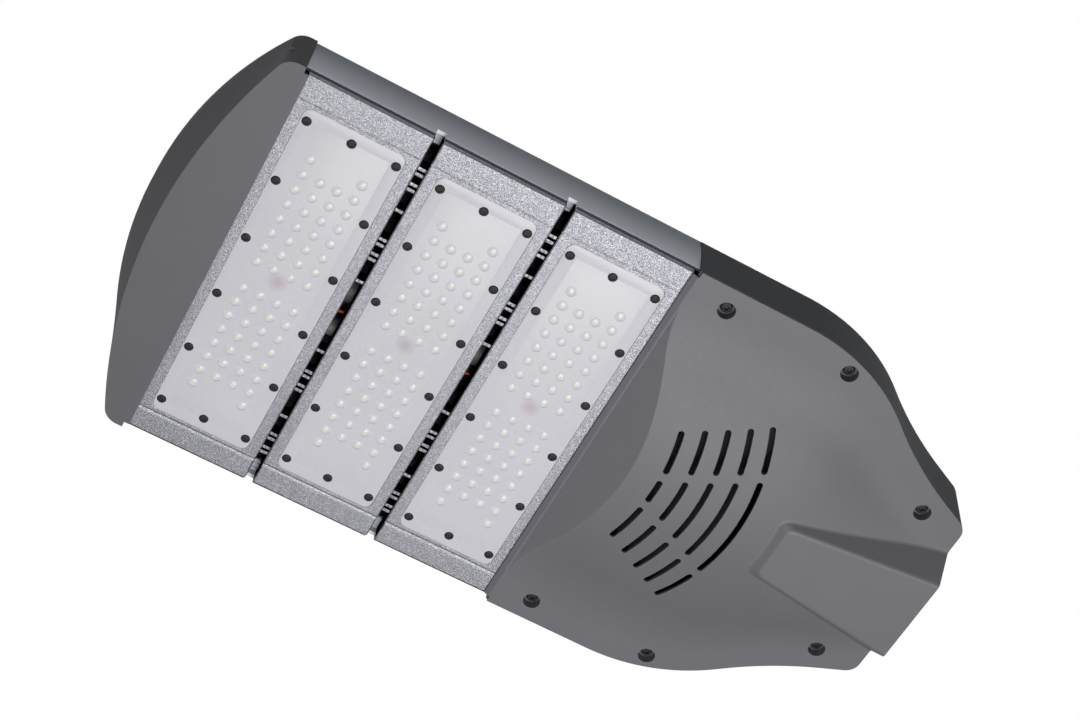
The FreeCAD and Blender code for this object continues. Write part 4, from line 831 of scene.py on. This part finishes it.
cover_heads = group_of("cover_screws_made", socket_screw(**COVER_SCREW),
                       [(x, side * y, 0) for x, y in COVER_WELLS for side in (1, -1)])
finish_piece(cover_heads, ["cover_screws"], BLACK_SCREW)

from_node("nose_cap", PAINT, shaping=lambda piece: draw_up(piece, NOSE_STRIP))
from_node("driver_cover", COVER_COAT_WITH_PAINTED_LIGHT,
          shaping=lambda piece: draw_up(piece, COVER_STRIP, COVER_STRIP_FOOT))

# Nodes, material, slot, and the width and segments of the rounded edges
SIMPLE = [
    ("tail_housing", TAIL_COAT_WITH_PAINTED_SHADE, "cast_paint", 0.0, 2),
    ("side_rail_left side_rail_right", RAIL, "rail_metal", 0.0004, 2),
    ("top_deck", DECK, "deck_paint", 0.0, 2),
    ("rail_screws", STEEL, "steel_screws", 0.0004, 2),
    ("deck_screws", STEEL, "steel_screws", 0.0002, 1),
    ("arm_set_screws", BLACK_SCREW, "black_screws", 0.0004, 2),
    ("driver_screws module_screws", STEEL, "steel_screws", 0.0003, 1),
    ("cover_gasket", RUBBER, "dark_rubber", 0.0, 1),
    ("driver", CASE, "driver_case", 0.0010, 3),
    ("terminal_block", WHITE, "terminal_white", 0.0004, 1),
    ("surge_protector", BLUE, "surge_blue", 0.0008, 2),
    ("module_glands bulkhead_gland", GLAND, "gland_black", 0.0004, 1),
    ("connector_1 connector_2", PLUG, "connector_grey", 0.0006, 2),
    ("wire_grommets", RUBBER, "dark_rubber", 0.0003, 1),
    ("splice_sleeve", SLEEVE, "sleeve_grey", 0.0006, 2),
    ("splice_wire", BLACK_WIRE, "wire_black", 0.0, 1),
    ("link_wires", RED, "wire_red", 0.0, 1),
    ("lead_1a lead_1b lead_2a lead_2b lead_3", SHEATH, "lead_sheath", 0.0, 1),
]
for nodes, material, slot, width, segments in SIMPLE:
    for node in nodes.split():
        from_node(node, material, width, segments)


# Room, lights and camera

def room():
    """White for the camera, a share of it in reflections, and a dim grey that lights the rest."""
    world = bpy.data.worlds.new("studio")
    bpy.context.scene.world = world
    world.use_nodes = True
    tree = world.node_tree
    tree.nodes.clear()
    path = add(tree, "ShaderNodeLightPath").outputs
    seen = calc(tree, "MAXIMUM", path["Is Camera Ray"], path["Is Transmission Ray"])
    mirrored = calc(tree, "MULTIPLY", path["Is Glossy Ray"], GLOSS_SHARE)
    white = add(tree, "ShaderNodeBackground", {"Color": (1, 1, 1, 1), "Strength": 1.0})
    grey = add(tree, "ShaderNodeBackground", {"Color": ROOM_GREY, "Strength": ROOM_LIGHT})
    mix = add(tree, "ShaderNodeMixShader", {
        "Fac": calc(tree, "MAXIMUM", seen, mirrored), 1: grey.outputs[0], 2: white.outputs[0]})
    add(tree, "ShaderNodeOutputWorld", {"Surface": mix.outputs[0]})


def camera():
    data = bpy.data.cameras.new("camera")
    data.lens = CAMERA_LENS
    data.sensor_width = CAMERA_SENSOR
    data.clip_end = CAMERA_END
    obj = bpy.data.objects.new("camera", data)
    bpy.context.collection.objects.link(obj)
    turn = Matrix((CAMERA_RIGHT, CAMERA_UP, CAMERA_BACK)).transposed()
    obj.matrix_world = Matrix.Translation(CAMERA_PLACE) @ turn.to_4x4()
    bpy.context.scene.camera = obj


def lamp(name, place, size, power):
    """A rectangular lamp that points at the middle of the part."""
    data = bpy.data.lights.new(name, "AREA")
    data.shape = "RECTANGLE"
    data.size, data.size_y = size
    data.energy = power
    obj = bpy.data.objects.new(name, data)
    bpy.context.collection.objects.link(obj)
    obj.location = place
    obj.rotation_mode = "QUATERNION"
    obj.rotation_quaternion = (Vector(LAMP_CENTRE) - Vector(place)).to_track_quat("-Z", "Y")


def floor():
    """A pale floor far below, brighter for the camera, that keeps the part's shadow."""
    bpy.ops.object.select_all(action="DESELECT")
    bpy.ops.mesh.primitive_plane_add(size=FLOOR_SIZE, location=(0.3, 0, FLOOR_Z))
    ground = settled()
    ground.name = "studio_floor"
    pale = coat("pale floor", (0.66, 0.66, 0.66), 0.8, grain=60.0, depth=0.0002, edge=0.0,
                contrast=0.01, spread=0.02, specular=0.1)
    tree = pale.node_tree
    path = add(tree, "ShaderNodeLightPath").outputs
    feed(tree, tree.nodes["Principled BSDF"], {
        "Emission Color": (1.0, 1.0, 1.0, 1.0),
        "Emission Strength": calc(tree, "MULTIPLY", path["Is Camera Ray"], FLOOR_GLOW)})
    ground.data.materials.append(pale)


floor()
camera()
room()
bpy.context.scene.view_settings.view_transform = "Standard"
for name, place, size, power in LAMPS:
    lamp(name, place, size, power)
